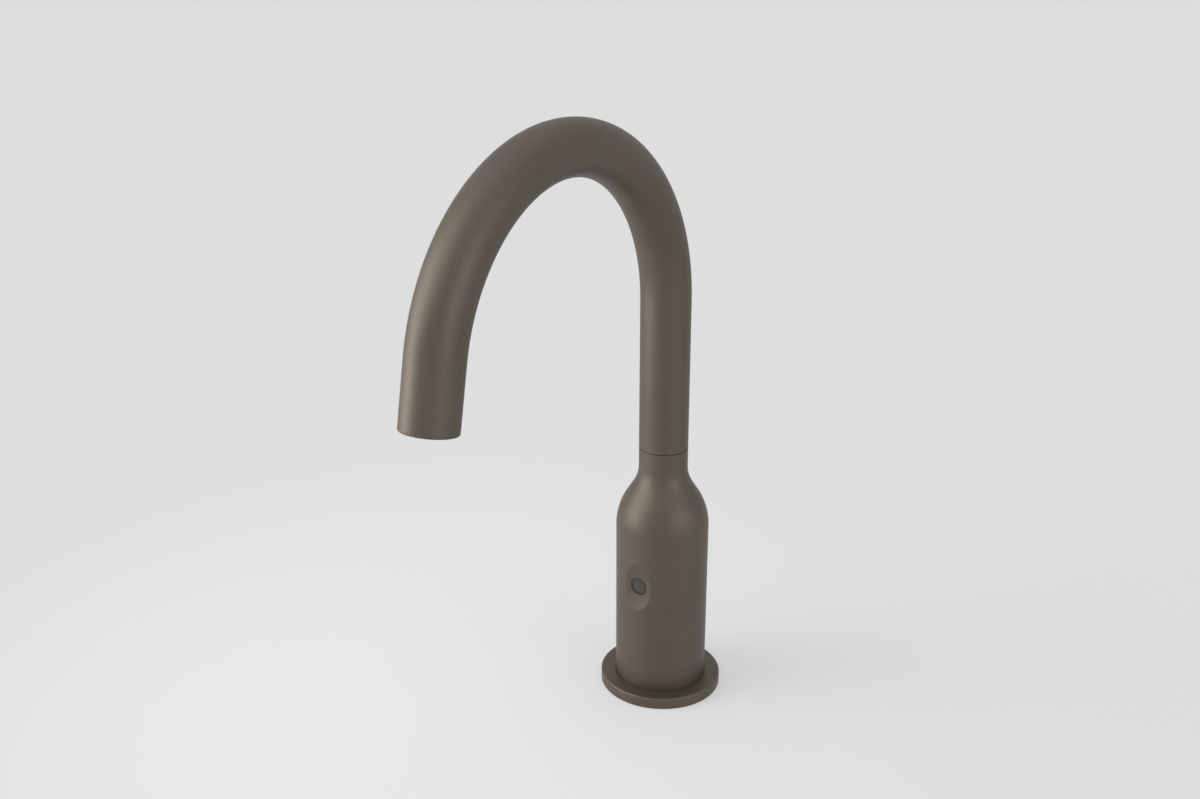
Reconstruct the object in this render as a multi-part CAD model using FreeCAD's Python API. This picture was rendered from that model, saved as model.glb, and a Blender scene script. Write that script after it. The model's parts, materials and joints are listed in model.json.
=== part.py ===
import FreeCAD, Part
import math
import os

# Deck-mounted touch-free basin tap with a swivelling gooseneck spout.
# Millimetres, +Z up. The origin is the centre of the base flange's underside,
# on the basin or bench top. The spout and the sensor point towards -Y.

V = FreeCAD.Vector
ORIGIN = V(0, 0, 0)
X_AXIS = V(1, 0, 0)
Y_AXIS = V(0, 1, 0)
Z_AXIS = V(0, 0, 1)

# ---- clearances ---------------------------------------------------------------
FIT = 0.05                   # all round, between pieces that fit into each other
EASE = 0.1                   # all round, where a piece only has to pass
PLAY = 0.2                   # all round, where a piece passes with room
PAST = 1.0                   # a cutting shape runs this far past the face it cuts
SCREW_SOCKET_SHARE = 0.6     # depth of a screw's socket, as a share of its head

# ---- spout ------------------------------------------------------------------
TUBE_R = 12.5
TUBE_WALL = 1.6
BEND_R = 85.5                # on the tube's centre line
BEND_ANGLE = 168.0           # short of a half turn, so the mouth leans outward
BEND_Z = 214.0
TAIL = 29.0                  # straight run between the bend and the mouth
MOUTH_ROUND = 0.8

# ---- body and base flange -----------------------------------------------------
BODY_R = 24.0
BODY_BORE_R = 21.0
SHOULDER_Z = 93.3            # the straight wall ends here
SHOULDER_R = 34.0            # convex round of the shoulder
SHOULDER_SLOPE = 32.6        # steepest lean of the shoulder from upright
NECK_Z = 127.0               # the shoulder has run out into the neck
SEAM_Z = 137.0               # middle of the seam between body and spout
SEAM_GAP = 0.4
FLANGE_R = 32.0
FLANGE_T = 6.0
FLANGE_EDGE = 0.8
FLANGE_SEAT = 1.0            # the body sinks this far into the flange
SEAT_GAP = 0.15
FLANGE_HOLE_R = 15.3
FLANGE_BORE_R = 14.3         # above the ledge that stops the centring ring
HOLE_CHAMFER = 0.4
SPIGOT_R = 15.5              # ring that centres the tap in the deck hole
SPIGOT_DROP = 4.0
SPIGOT_TOP_Z = 3.0
SEAL_IN_R = 25.0
SEAL_OUT_R = 28.0
SEAL_T = 2.0
CONE_LOW_Z = 97.0            # the bore narrows to the boss between these heights
CONE_TOP_Z = 116.0

# ---- swivel in the neck ---------------------------------------------------------
SOCKET_R = 9.08
SOCKET_FLOOR_Z = 106.0
NIPPLE_R = 9.0
NIPPLE_FOOT_Z = 107.0
NIPPLE_TOP_Z = 150.0
NIPPLE_BORE_R = 6.0
NIPPLE_CHAMFER = 0.6
NIPPLE_LIP = 1.5             # wall left at the top of the nipple's funnel
NIPPLE_FUNNEL = 5.0
SWIVEL_LIMIT = 60.0          # degrees each way
STOP_Z = 131.0               # height of the grub screw and its stop groove
STOP_TIP_R = 1.5
STOP_FLOOR_R = 7.4
STOP_TIP_Y = 7.8
STOP_SLACK = 0.8             # degrees of groove past the limit
GRUB_R = 2.45
GRUB_SUNK = 0.5              # below the neck's surface
GRUB_KEY = 2.5               # across the flats
GRUB_KEY_DEPTH = 2.0
O_RING_Z = (116.0, 124.0)
O_RING_GROOVE_W = 2.2
O_RING_FLOOR_R = 7.6
RING_INSET = 0.35            # the slip washer lies this far inside the neck's surface

# ---- mouth, in distances upstream from its face -----------------------------------
SLEEVE_FACE = 0.9
SLEEVE_BORE_R = 9.3
SLEEVE_LEDGE = 12.0
SLEEVE_LEDGE_R = 8.2
SLEEVE_END = 14.0
CUP_FACE = 1.6
CUP_R = 9.2
CUP_BORE_R = 7.9
CUP_LEDGE = 9.2
CUP_LEDGE_R = 7.2
CUP_END = 10.4
KEY_SLOTS = 4
KEY_SLOT_W = 2.2
KEY_SLOT_END = 3.0
SCREEN_FACE = 3.2
SCREEN_T = 2.0
CELL_PITCH = 3.3
CELL_W = 2.7
CELL_ROWS = 2                # each side of the middle row
CELL_REACH = 2.1             # cells further out than this many pitches are left out
JET_PLATE_FACE = 6.6
JETS = 8
JET_R = 0.7
JET_RING_R = 5.4

# ---- sensor ---------------------------------------------------------------------
SENSOR_Z = 66.0
SCOOP_R = 48.2               # ball that hollows the front of the body
SCOOP_DEPTH = 1.8
EYE_R = 4.7
EYE_ROUND = 0.2
EYE_HOLE_R = 4.8
EYE_FACE_Y = -22.4
GLASS_R = 3.7
GLASS_T = 1.8
GLASS_RISE = 0.25            # height of the window's dome
SENSOR_BOSS_R = 13.0
SENSOR_BOSS_Y = -17.0        # flat inside face that the sensor is screwed to
BARREL_BORE_R = 3.4
GASKET_R = 7.0
CASE_HALF_X = 8.0
CASE_HALF_Z = 12.0
CASE_FRONT_Y = -16.4
CASE_BACK_Y = -12.4
CASE_COVER_T = 1.2
CASE_WALL = 1.2
CASE_ROOM_Z = 6.8            # half height of the case's hollow
CASE_SCREW_DZ = 9.6
CASE_SCREW_R = 1.0
CASE_SCREW_HOLE_R = 1.3
CASE_SCREW_DEPTH = 3.0       # in the body's boss
CASE_HEAD_R = 1.9
CASE_HEAD_T = 1.2
BOARD_T = 1.0
BOARD_GAP = 0.4              # between the board and the cover
DIODE_R = 1.3
DIODE_DX = 1.7
DIODE_NOSE = 3.6             # behind the eye's face

# ---- mounting below the deck ------------------------------------------------------
SHANK_R = 14.0               # M28 x 1.5 thread
SHANK_BORE_R = 11.3
SHANK_FOOT_Z = -50.0
SHANK_CHAMFER = 0.8
HEAD_R = 21.4
HEAD_LOW_Z = 7.0
HEAD_TOP_Z = 15.0
HEAD_SLOT_HALF = 2.6         # slot that lets the lead past the head
HEAD_SLOT_Y = -15.4
GROMMET_TOP_Z = -44.0
GROMMET_RIM_R = 13.0
GROMMET_RIM_T = 1.5
DECK_T = 20.0                # deck thickness that the nut is drawn at
RUBBER_R = 22.0
RUBBER_T = 3.0
STEEL_R = 23.0
STEEL_T = 2.0
NUT_T = 8.0
NUT_AF = 36.0
NUT_BORE_R = 14.1
NUT_CHAMFER = 1.6

# ---- inlet ------------------------------------------------------------------------
INLET_Y = 4.0
PIPE_R = 6.0
PIPE_BORE_R = 4.6
PIPE_FOOT_Z = -69.0
PIPE_TOP_Z = 24.0
THREAD_R = 8.33              # G 3/8 male
THREAD_LOW_Z = -82.0
THREAD_TOP_Z = -70.0
THREAD_CHAMFER = 0.8
COLLAR_R = 8.9
COLLAR_TOP_Z = -63.5
COLLAR_AF = 16.0
COLLAR_RIM = 1.2             # full round below the spanner flats
CAGE_R = 5.75
CAGE_BORE_R = 4.9
CAGE_LOW_Z = -79.5
CAGE_TOP_Z = -70.5
BRIDGE_T = 1.2
BRIDGE_HALF = 1.0
BRIDGE_HUB_R = 2.2
POPPET_SEAT_Z = -78.5
POPPET_SEAT_R = 3.0
POPPET_R = 4.0
POPPET_T = 1.2
POPPET_CONE = 0.4            # rise from the disc's rim to the stem
POPPET_STEM_R = 1.0
POPPET_STEM_OVER = 0.4       # the stem stands this far out of the bridge
FILTER_LOW_Z = -81.5
FILTER_WEB_T = 0.8
FILTER_HOLE_R = 0.95
FILTER_PITCH = 2.6
FILTER_ROWS = 1              # each side of the middle row
FILTER_REACH = 1.1           # holes further out than this many pitches are left out
SPRING_OUT_R = 2.3           # both coil springs
SPRING_IN_R = 1.5

# ---- leads ---------------------------------------------------------------------------
LEAD_R = 1.6
LEAD_Y = -14.2
LEAD_BEND_R = 14.0
LEAD_BEND_TOP_Z = 23.0
LEAD_SOCKET = 0.8            # depth of its hole in the sensor's case
COIL_LEAD_R = 0.8
COIL_LEAD_X = 5.0
COIL_LEAD_Y = -13.2
COIL_LEAD_DROP = 2.0
COIL_LEAD_BEND_R = 4.0
PLUG_Y = -6.6
PLUG_R = 3.15
PLUG_LOW_Z = -60.0
PLUG_TOP_Z = -43.0
PLUG_RIM_R = 4.1
PLUG_RIM_LOW_Z = -53.0
PLUG_RIM_TOP_Z = -51.5
PLUG_CUP_R = 2.4
PLUG_CUP_TOP_Z = -51.0
PLUG_KEY_W = 1.0
PLUG_KEY_R = 2.8
PLUG_KEY_TOP_Z = -54.0
PLUG_PINS = 4
PIN_R = 0.4
PIN_RING_R = 1.2
PIN_SUNK = 2.0               # the pins end this far inside the socket

# ---- solenoid valve --------------------------------------------------------------------
PLATE_R = 20.5
PLATE_TOP_Z = 18.0
PLATE_SLOT_HALF = 2.4
PLATE_SLOT_Y = -9.0
BASE_SCREW_X = 12.6
BASE_SCREW_Y = 10.6
BASE_SCREW_R = 1.4
BASE_SCREW_HEAD_R = 2.7
BASE_SCREW_HEAD_T = 2.4
BASE_SCREW_TIP_Z = 9.0
VALVE_R = 11.0
VALVE_TOP_Z = 36.0
VALVE_SEAT_Z = 34.5
CHAMBER_R = 8.5
CHAMBER_LOW_Z = 31.0
CHAMBER_HUB_R = 4.2
SEAT_BORE_R = 2.2
OUTLET_Z = 28.0              # cross channel from the seat to the riser
FEED_R = 1.4                 # two holes from the inlet up into the chamber
FEED_X = 4.6
FEED_Y = 3.2
RISER_BOSS_R = 5.3
RISER_WEB_HALF = 4.0
RISER_WEB_TOP_Z = 33.0
EAR_X = 14.5
EAR_R = 3.2
EAR_LOW_Z = 30.0
EAR_SCREW_R = 1.25
EAR_SCREW_HEAD_R = 2.5
EAR_SCREW_HEAD_T = 2.2
EAR_COVER_HOLE_R = 1.6
COVER_TOP_Z = 40.0
COVER_ROOM_R = 8.2
COVER_ROOM_TOP_Z = 38.6
RIM_LOW_Z = 35.0             # underside of the diaphragm's clamped rim
RIM_R = 9.6
WEB_R = 8.0
WEB_LOW_Z = 35.5
WEB_TOP_Z = 36.1
HUB_R = 4.3
HUB_TOP_R = 4.0
HUB_TOP_Z = 37.4
PILOT_R = 0.5
GUIDE_R = 4.5                # tube that the plunger runs in
GUIDE_BORE_R = 3.9
GUIDE_TOP_Z = 65.0
GUIDE_CEILING_Z = 61.5
PLUNGER_R = 3.8
PLUNGER_LOW_Z = 37.5
PLUNGER_TOP_Z = 57.5
PLUNGER_BORE_R = 2.5
PLUNGER_BORE_DEPTH = 9.0
FLUTE_DEPTH = 0.6
FLUTE_HALF = 1.0
YOKE_T = 1.2
YOKE_HALF_Y = 6.5
COIL_R = 9.5
COIL_LOW_Z = 41.2
COIL_TOP_Z = 60.2
COIL_NUT_AF = 12.0
COIL_NUT_T = 3.0
RISER_R = 4.0
RISER_BORE_R = 3.2
RISER_Y = 14.5
RISER_FOOT_Z = 31.5
RISER_SUMP = 1.5             # depth of the bore below the cross channel's axis
RISER_BEND_TOP_Z = 97.5
RISER_TOP_Z = 105.0
RISER_PASS_R = 4.3           # notch in the valve's cover
RISER_SEAL_W = 1.2
RISER_SEAL_ROOM = 2.5
PIPE_SEAL_W = 1.4
PIPE_SEAL_ROOM = 2.2
BOSS_R = 12.2
BOSS_LOW_Z = 98.0

# ---- worked out from the above ------------------------------------------------------------
TUBE_BORE_R = TUBE_R - TUBE_WALL
TUBE_LOW_Z = SEAM_Z + SEAM_GAP / 2
NECK_TOP_Z = SEAM_Z - SEAM_GAP / 2
BODY_FOOT_Z = FLANGE_T - FLANGE_SEAT
CASE_FOOT_Z = SENSOR_Z - CASE_HALF_Z
WASHER_TOP_Z = -DECK_T - RUBBER_T
NUT_TOP_Z = WASHER_TOP_Z - STEEL_T
LEAN = math.radians(BEND_ANGLE)
FLOW = V(0, -math.sin(LEAN), math.cos(LEAN))
BEND_END = V(0, -BEND_R + BEND_R * math.cos(LEAN), BEND_Z + BEND_R * math.sin(LEAN))
MOUTH = BEND_END + FLOW * TAIL


# ---- shared shapes ----------------------------------------------------------------------

def disc(radius, low, high, x=0.0, y=0.0):
    """Upright solid cylinder between two heights."""
    return Part.makeCylinder(radius, high - low, V(x, y, low))


def ring(outer, inner, low, high, x=0.0, y=0.0):
    """Upright cylinder with a hole right through."""
    return disc(outer, low, high, x, y).cut(disc(inner, low - PAST, high + PAST, x, y))


def block(x0, x1, y0, y1, z0, z1):
    """Box between two corners."""
    return Part.makeBox(x1 - x0, y1 - y0, z1 - z0, V(x0, y0, z0))


def rod_y(radius, y0, y1, x, z):
    """Solid cylinder along Y."""
    return Part.makeCylinder(radius, y1 - y0, V(x, y0, z), Y_AXIS)


def profile(points):
    """Closed polygon face from (radius, height) points."""
    corners = [V(radius, 0, height) for radius, height in points]
    return Part.Face(Part.makePolygon(corners + corners[:1]))


def turned(points, y=0.0):
    """Solid of revolution about an upright axis, from (radius, height) points."""
    solid = profile(points).revolve(ORIGIN, Z_AXIS, 360)
    solid.translate(V(0, y, 0))
    return solid


def hexagon(across_flats, low, high):
    """Upright hexagonal prism."""
    radius = across_flats / math.sqrt(3)
    corners = [V(radius * math.cos(math.radians(60 * k)), radius * math.sin(math.radians(60 * k)), low)
               for k in range(6)]
    face = Part.Face(Part.makePolygon(corners + corners[:1]))
    return face.extrude(V(0, 0, high - low))


def seal_ring(shaft_r, wall_r, low, room, y=0.0):
    """Pressed seal between a shaft and the wall round it, in a groove or recess of the given room."""
    outer = wall_r - FIT / 2
    inner = shaft_r + FIT / 2
    return ring(outer, inner, low + EASE, low + room - EASE, 0, y)


def swept_tube(spine, radius, bore_radius=None):
    """Tube or rod along a wire that starts upright."""
    start = spine.OrderedVertexes[0].Point
    solids = []
    for section in (radius, bore_radius):
        if section is not None:
            solids.append(spine.makePipe(Part.Face(Part.Wire(Part.makeCircle(section, start, Z_AXIS)))))
    return solids[0] if bore_radius is None else solids[0].cut(solids[1])


def s_bend(low, y_low, y_high, bend_top, high, radius):
    """Wire that runs up, shifts sideways through two equal arcs, and runs up again."""
    shift = y_high - y_low
    side = math.copysign(1.0, shift)
    turn = math.acos(1 - abs(shift) / (2 * radius))
    rise = 2 * radius * math.sin(turn)
    bend_low = bend_top - rise
    half = radius * (1 - math.cos(turn / 2))
    middle = V(0, (y_low + y_high) / 2, (bend_low + bend_top) / 2)
    first = V(0, y_low + side * half, bend_low + radius * math.sin(turn / 2))
    second = V(0, y_high - side * half, bend_top - radius * math.sin(turn / 2))
    edges = [Part.LineSegment(V(0, y_low, low), V(0, y_low, bend_low)),
             Part.Arc(V(0, y_low, bend_low), first, middle),
             Part.Arc(middle, second, V(0, y_high, bend_top)),
             Part.LineSegment(V(0, y_high, bend_top), V(0, y_high, high))]
    return Part.Wire([edge.toShape() for edge in edges])


def socket_screw(head_r, shank_r, head_low, head_high, tip, x, y):
    """Upright screw with a round head on top, and in it a hexagon socket as wide as the head's radius."""
    body = disc(head_r, head_low, head_high, x, y).fuse(disc(shank_r, tip, head_low, x, y))
    socket_low = head_high - (head_high - head_low) * SCREW_SOCKET_SHARE
    socket = hexagon(head_r, socket_low, head_high + PAST)
    socket.translate(V(x, y, 0))
    return body.cut(socket).removeSplitter()


def at_mouth(shape):
    """Move a shape drawn with its face at z=0, upstream along +Z, into the spout's mouth."""
    moved = shape.copy()
    moved.rotate(ORIGIN, X_AXIS, BEND_ANGLE - 180)
    moved.translate(MOUTH)
    return moved


def at_eye(shape):
    """Move a shape drawn with its face at z=0, outward along +Z, into the sensor's place."""
    moved = shape.copy()
    moved.rotate(ORIGIN, X_AXIS, 90)
    moved.translate(V(0, EYE_FACE_Y, SENSOR_Z))
    return moved


def case_screw_heights():
    """Heights of the two screws of the sensor's case."""
    return [SENSOR_Z + side * CASE_SCREW_DZ for side in (-1, 1)]


def base_screw_places():
    """Plan positions of the screws that hold the valve to the shank's head."""
    return [(side * BASE_SCREW_X, end * BASE_SCREW_Y) for side in (-1, 1) for end in (-1, 1)]


# ---- body and flange ----------------------------------------------------------------------

def body_outline():
    """Edges of the body's outside from foot to neck, with an S-shaped shoulder."""
    slope = math.radians(SHOULDER_SLOPE)
    lean_in = 1 - math.cos(slope)
    gap = (NECK_Z - SHOULDER_Z - SHOULDER_R * math.sin(slope)) * math.tan(slope)
    neck_round = (BODY_R - TUBE_R - SHOULDER_R * lean_in - gap)
    neck_round /= lean_in - math.sin(slope) * math.tan(slope)

    def convex(angle):
        return V(BODY_R - SHOULDER_R * (1 - math.cos(angle)), 0, SHOULDER_Z + SHOULDER_R * math.sin(angle))

    def concave(angle):
        return V(TUBE_R + neck_round * (1 - math.cos(angle)), 0, NECK_Z - neck_round * math.sin(angle))

    foot = V(BODY_R, 0, BODY_FOOT_Z)
    neck_top = V(TUBE_R, 0, NECK_TOP_Z)
    return [Part.LineSegment(foot, convex(0)).toShape(),
            Part.Arc(convex(0), convex(slope / 2), convex(slope)).toShape(),
            Part.LineSegment(convex(slope), concave(slope)).toShape(),
            Part.Arc(concave(slope), concave(slope / 2), concave(0)).toShape(),
            Part.LineSegment(concave(0), neck_top).toShape()]


def body_inside():
    """Edges of the body's inside: swivel socket, riser hole, boss, bore and seat of the shank's head."""
    riser = RISER_R + EASE
    seal = RISER_R + RISER_SEAL_W
    seal_top = BOSS_LOW_Z + RISER_SEAL_ROOM
    head = HEAD_R + EASE
    points = [(TUBE_R, NECK_TOP_Z), (SOCKET_R, NECK_TOP_Z), (SOCKET_R, SOCKET_FLOOR_Z),
              (riser, SOCKET_FLOOR_Z), (riser, seal_top), (seal, seal_top), (seal, BOSS_LOW_Z),
              (BOSS_R, BOSS_LOW_Z), (BOSS_R, CONE_TOP_Z), (BODY_BORE_R, CONE_LOW_Z),
              (BODY_BORE_R, HEAD_TOP_Z), (head, HEAD_TOP_Z), (head, BODY_FOOT_Z), (BODY_R, BODY_FOOT_Z)]
    return Part.makePolygon([V(radius, 0, height) for radius, height in points]).Edges


def sensor_boss():
    """Thickening behind the eye, with the flat face that the sensor is screwed to."""
    boss = rod_y(SENSOR_BOSS_R, -BODY_R, SENSOR_BOSS_Y, 0, SENSOR_Z)
    return boss.common(disc(BODY_R - PAST, SENSOR_Z - BODY_R, SENSOR_Z + BODY_R))


def body_shell():
    """Bottle-shaped body with the swivel socket in its neck and the sensor's scoop in front."""
    section = Part.Face(Part.Wire(Part.__sortEdges__(body_outline() + body_inside())))
    shell = section.revolve(ORIGIN, Z_AXIS, 360).fuse(sensor_boss())
    scoop = Part.makeSphere(SCOOP_R, V(0, SCOOP_DEPTH - BODY_R - SCOOP_R, SENSOR_Z))
    shell = shell.cut(scoop)
    shell = shell.cut(rod_y(EYE_HOLE_R, -BODY_R - PAST, SENSOR_BOSS_Y + PAST, 0, SENSOR_Z))
    for z in case_screw_heights():
        low = SENSOR_BOSS_Y - CASE_SCREW_DEPTH - FIT
        shell = shell.cut(rod_y(CASE_SCREW_R + FIT, low, SENSOR_BOSS_Y + PAST, 0, z))
    shell = shell.cut(rod_y(GRUB_R + FIT, SOCKET_R - PAST, TUBE_R + PAST, 0, STOP_Z))
    return shell.removeSplitter()


def base_flange():
    """Round plate with a rounded rim, a seat for the body and a seal groove below."""
    seat = BODY_R + SEAT_GAP
    points = [(FLANGE_BORE_R, BODY_FOOT_Z), (FLANGE_BORE_R, SPIGOT_TOP_Z), (FLANGE_HOLE_R, SPIGOT_TOP_Z),
              (FLANGE_HOLE_R, HOLE_CHAMFER), (FLANGE_HOLE_R + HOLE_CHAMFER, 0), (SEAL_IN_R, 0),
              (SEAL_IN_R, SEAL_T), (SEAL_OUT_R, SEAL_T), (SEAL_OUT_R, 0), (FLANGE_R, 0),
              (FLANGE_R, FLANGE_T - FLANGE_EDGE)]
    rise = [V(radius, 0, height) for radius, height in points]
    top = [V(FLANGE_R - FLANGE_EDGE, 0, FLANGE_T), V(seat, 0, FLANGE_T), V(seat, 0, BODY_FOOT_Z), rise[0]]
    corner = FLANGE_EDGE * (1 - math.sqrt(0.5))
    crown = Part.Arc(rise[-1], V(FLANGE_R - corner, 0, FLANGE_T - corner), top[0]).toShape()
    edges = Part.makePolygon(rise).Edges + [crown] + Part.makePolygon(top).Edges
    return Part.Face(Part.Wire(edges)).revolve(ORIGIN, Z_AXIS, 360)


def centring_ring():
    """Plastic ring under a ledge in the flange, which keeps the shank in the middle of the deck hole."""
    inner = SHANK_R + PLAY
    upper = FLANGE_HOLE_R - FIT
    return turned([(inner, -SPIGOT_DROP), (SPIGOT_R, -SPIGOT_DROP), (SPIGOT_R, 0), (upper, 0),
                   (upper, SPIGOT_TOP_Z), (inner, SPIGOT_TOP_Z)])


def base_seal():
    """Flat rubber ring that lies flush in the flange's underside."""
    return ring(SEAL_OUT_R - EASE, SEAL_IN_R + EASE, 0, SEAL_T)


# ---- spout ------------------------------------------------------------------------------

def spout_line():
    """Centre line of the gooseneck, from the seam to the mouth."""
    half = LEAN / 2
    crest = V(0, -BEND_R + BEND_R * math.cos(half), BEND_Z + BEND_R * math.sin(half))
    bend_start = V(0, 0, BEND_Z)
    edges = [Part.LineSegment(V(0, 0, TUBE_LOW_Z), bend_start),
             Part.Arc(bend_start, crest, BEND_END),
             Part.LineSegment(BEND_END, MOUTH)]
    return Part.Wire([edge.toShape() for edge in edges])


def spout_tube():
    """Gooseneck tube: upright run, wide bend and a straight tail that leans outward."""
    tube = swept_tube(spout_line(), TUBE_R, TUBE_BORE_R)
    rim = [edge for edge in tube.Edges
           if edge.Curve.TypeId == "Part::GeomCircle" and abs(edge.Curve.Radius - TUBE_R) < FIT
           and edge.Curve.Center.distanceToPoint(MOUTH) < FIT]
    return tube.makeFillet(MOUTH_ROUND, rim)


def stop_groove():
    """Part-turn groove in the nipple that the stop's tip runs in."""
    reach = SWIVEL_LIMIT + math.degrees(math.asin(STOP_TIP_R / STOP_TIP_Y)) + STOP_SLACK
    low = STOP_Z - STOP_TIP_R - EASE
    high = STOP_Z + STOP_TIP_R + EASE
    corners = [(STOP_FLOOR_R, low), (NIPPLE_R + PAST, low), (NIPPLE_R + PAST, high), (STOP_FLOOR_R, high)]
    groove = profile(corners).revolve(ORIGIN, Z_AXIS, 2 * reach)
    groove.rotate(ORIGIN, Z_AXIS, 90 - reach)
    return groove


def spout_nipple():
    """Turned foot of the spout, with two seal grooves and a part-turn groove for the stop."""
    points = [(NIPPLE_BORE_R, NIPPLE_FOOT_Z), (NIPPLE_R - NIPPLE_CHAMFER, NIPPLE_FOOT_Z),
              (NIPPLE_R, NIPPLE_FOOT_Z + NIPPLE_CHAMFER)]
    for height in O_RING_Z:
        low = height - O_RING_GROOVE_W / 2
        high = height + O_RING_GROOVE_W / 2
        points += [(NIPPLE_R, low), (O_RING_FLOOR_R, low), (O_RING_FLOOR_R, high), (NIPPLE_R, high)]
    sleeve = TUBE_BORE_R - FIT
    points += [(NIPPLE_R, TUBE_LOW_Z), (sleeve, TUBE_LOW_Z), (sleeve, NIPPLE_TOP_Z),
               (sleeve - NIPPLE_LIP, NIPPLE_TOP_Z), (NIPPLE_BORE_R, NIPPLE_TOP_Z - NIPPLE_FUNNEL)]
    return turned(points).cut(stop_groove())


def nipple_orings():
    """The two seals of the swivel."""
    lows = [height - O_RING_GROOVE_W / 2 for height in O_RING_Z]
    return Part.makeCompound([seal_ring(O_RING_FLOOR_R, SOCKET_R, low, O_RING_GROOVE_W) for low in lows])


def swivel_ring():
    """Thin slip washer that shows as the seam below the spout."""
    return ring(TUBE_R - RING_INSET, SOCKET_R + PLAY + EASE, NECK_TOP_Z, TUBE_LOW_Z - FIT)


def spout_grub_screw():
    """Screw at the back of the neck whose tip holds the spout down and stops its swivel."""
    inner = SOCKET_R + PLAY
    outer = TUBE_R - GRUB_SUNK
    screw = rod_y(GRUB_R, inner, outer, 0, STOP_Z).fuse(rod_y(STOP_TIP_R, STOP_TIP_Y, inner, 0, STOP_Z))
    key = hexagon(GRUB_KEY, -GRUB_KEY_DEPTH, PAST)
    key.rotate(ORIGIN, X_AXIS, -90)
    key.translate(V(0, outer, STOP_Z))
    return screw.cut(key).removeSplitter()


# ---- mouth --------------------------------------------------------------------------------

def outlet_insert():
    """Threaded sleeve soldered into the mouth, with a ledge that the washer seats on."""
    outer = TUBE_BORE_R - FIT
    points = [(SLEEVE_BORE_R, SLEEVE_FACE), (outer, SLEEVE_FACE), (outer, SLEEVE_END),
              (SLEEVE_LEDGE_R, SLEEVE_END), (SLEEVE_LEDGE_R, SLEEVE_LEDGE), (SLEEVE_BORE_R, SLEEVE_LEDGE)]
    return at_mouth(turned(points))


def aerator_cartridge():
    """Threaded cup of the aerator with slots for its key, set back in the mouth."""
    cup = turned([(CUP_BORE_R, CUP_FACE), (CUP_R, CUP_FACE), (CUP_R, CUP_END), (CUP_LEDGE_R, CUP_END),
                  (CUP_LEDGE_R, CUP_LEDGE), (CUP_BORE_R, CUP_LEDGE)])
    step = 360 / KEY_SLOTS
    for turn in range(KEY_SLOTS):
        slot = block(CUP_LEDGE_R, CUP_R + PAST, -KEY_SLOT_W / 2, KEY_SLOT_W / 2, 0, KEY_SLOT_END)
        slot.rotate(ORIGIN, Z_AXIS, step * (turn + 0.5))
        cup = cup.cut(slot)
    return at_mouth(cup)


def aerator_screen():
    """Honeycomb face of the aerator, with cells in rows set over by half a pitch."""
    plate = disc(CUP_BORE_R - FIT, SCREEN_FACE, SCREEN_FACE + SCREEN_T)
    for row in range(-CELL_ROWS, CELL_ROWS + 1):
        for column in range(-CELL_ROWS, CELL_ROWS + 1):
            x = CELL_PITCH * (column + row / 2)
            y = CELL_PITCH * row * math.sqrt(3) / 2
            if math.hypot(x, y) < CELL_REACH * CELL_PITCH:
                cell = hexagon(CELL_W, SCREEN_FACE - PAST, SCREEN_FACE + SCREEN_T + PAST)
                cell.rotate(ORIGIN, Z_AXIS, 30)
                cell.translate(V(x, y, 0))
                plate = plate.cut(cell)
    return at_mouth(plate)


def flow_regulator():
    """Disc that limits the flow, with a ring of jets."""
    plate = disc(CUP_BORE_R - FIT, JET_PLATE_FACE, CUP_LEDGE)
    for jet in range(JETS):
        angle = 2 * math.pi * jet / JETS
        x = JET_RING_R * math.cos(angle)
        y = JET_RING_R * math.sin(angle)
        plate = plate.cut(disc(JET_R, JET_PLATE_FACE - PAST, CUP_LEDGE + PAST, x, y))
    return at_mouth(plate)


def aerator_washer():
    """Flat seal between the cartridge and the sleeve's ledge."""
    return at_mouth(ring(CUP_R - EASE, CUP_LEDGE_R + PLAY, CUP_END, SLEEVE_LEDGE))


# ---- sensor ---------------------------------------------------------------------------------

def sensor_window():
    """Dark round window over the two diodes, very slightly domed."""
    ball = (GLASS_R ** 2 + GLASS_RISE ** 2) / (2 * GLASS_RISE)
    return at_eye(Part.makeSphere(ball, V(0, 0, -ball)).common(disc(GLASS_R, -GLASS_T, PAST)))


def sensor_bezel():
    """Black rim round the window."""
    return at_eye(turned([(GLASS_R, -GLASS_T), (EYE_R, -GLASS_T), (EYE_R, -EYE_ROUND),
                          (EYE_R - EYE_ROUND, 0), (GLASS_R, 0)]))


def sensor_housing():
    """Barrel that fills the eye hole, on a shallow case open at the back."""
    barrel = at_eye(ring(EYE_R, BARREL_BORE_R, EYE_FACE_Y - CASE_FRONT_Y - CASE_WALL, -GLASS_T))
    case = block(-CASE_HALF_X, CASE_HALF_X, CASE_FRONT_Y, CASE_BACK_Y, CASE_FOOT_Z, SENSOR_Z + CASE_HALF_Z)
    inner = CASE_HALF_X - CASE_WALL
    room = block(-inner, inner, CASE_FRONT_Y + CASE_WALL, CASE_BACK_Y + PAST,
                 SENSOR_Z - CASE_ROOM_Z, SENSOR_Z + CASE_ROOM_Z)
    case = case.cut(room).fuse(barrel)
    case = case.cut(rod_y(BARREL_BORE_R, EYE_FACE_Y, CASE_BACK_Y + PAST, 0, SENSOR_Z))
    for z in case_screw_heights():
        case = case.cut(rod_y(CASE_SCREW_HOLE_R, CASE_FRONT_Y - PAST, CASE_BACK_Y + PAST, 0, z))
    lead_hole = disc(LEAD_R + FIT, CASE_FOOT_Z - PAST, CASE_FOOT_Z + LEAD_SOCKET, 0, LEAD_Y)
    return case.cut(lead_hole).removeSplitter()


def sensor_gasket():
    """Seal between the sensor's case and the flat face inside the body."""
    return at_eye(ring(GASKET_R, EYE_R + PLAY, EYE_FACE_Y - CASE_FRONT_Y, EYE_FACE_Y - SENSOR_BOSS_Y))


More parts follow.
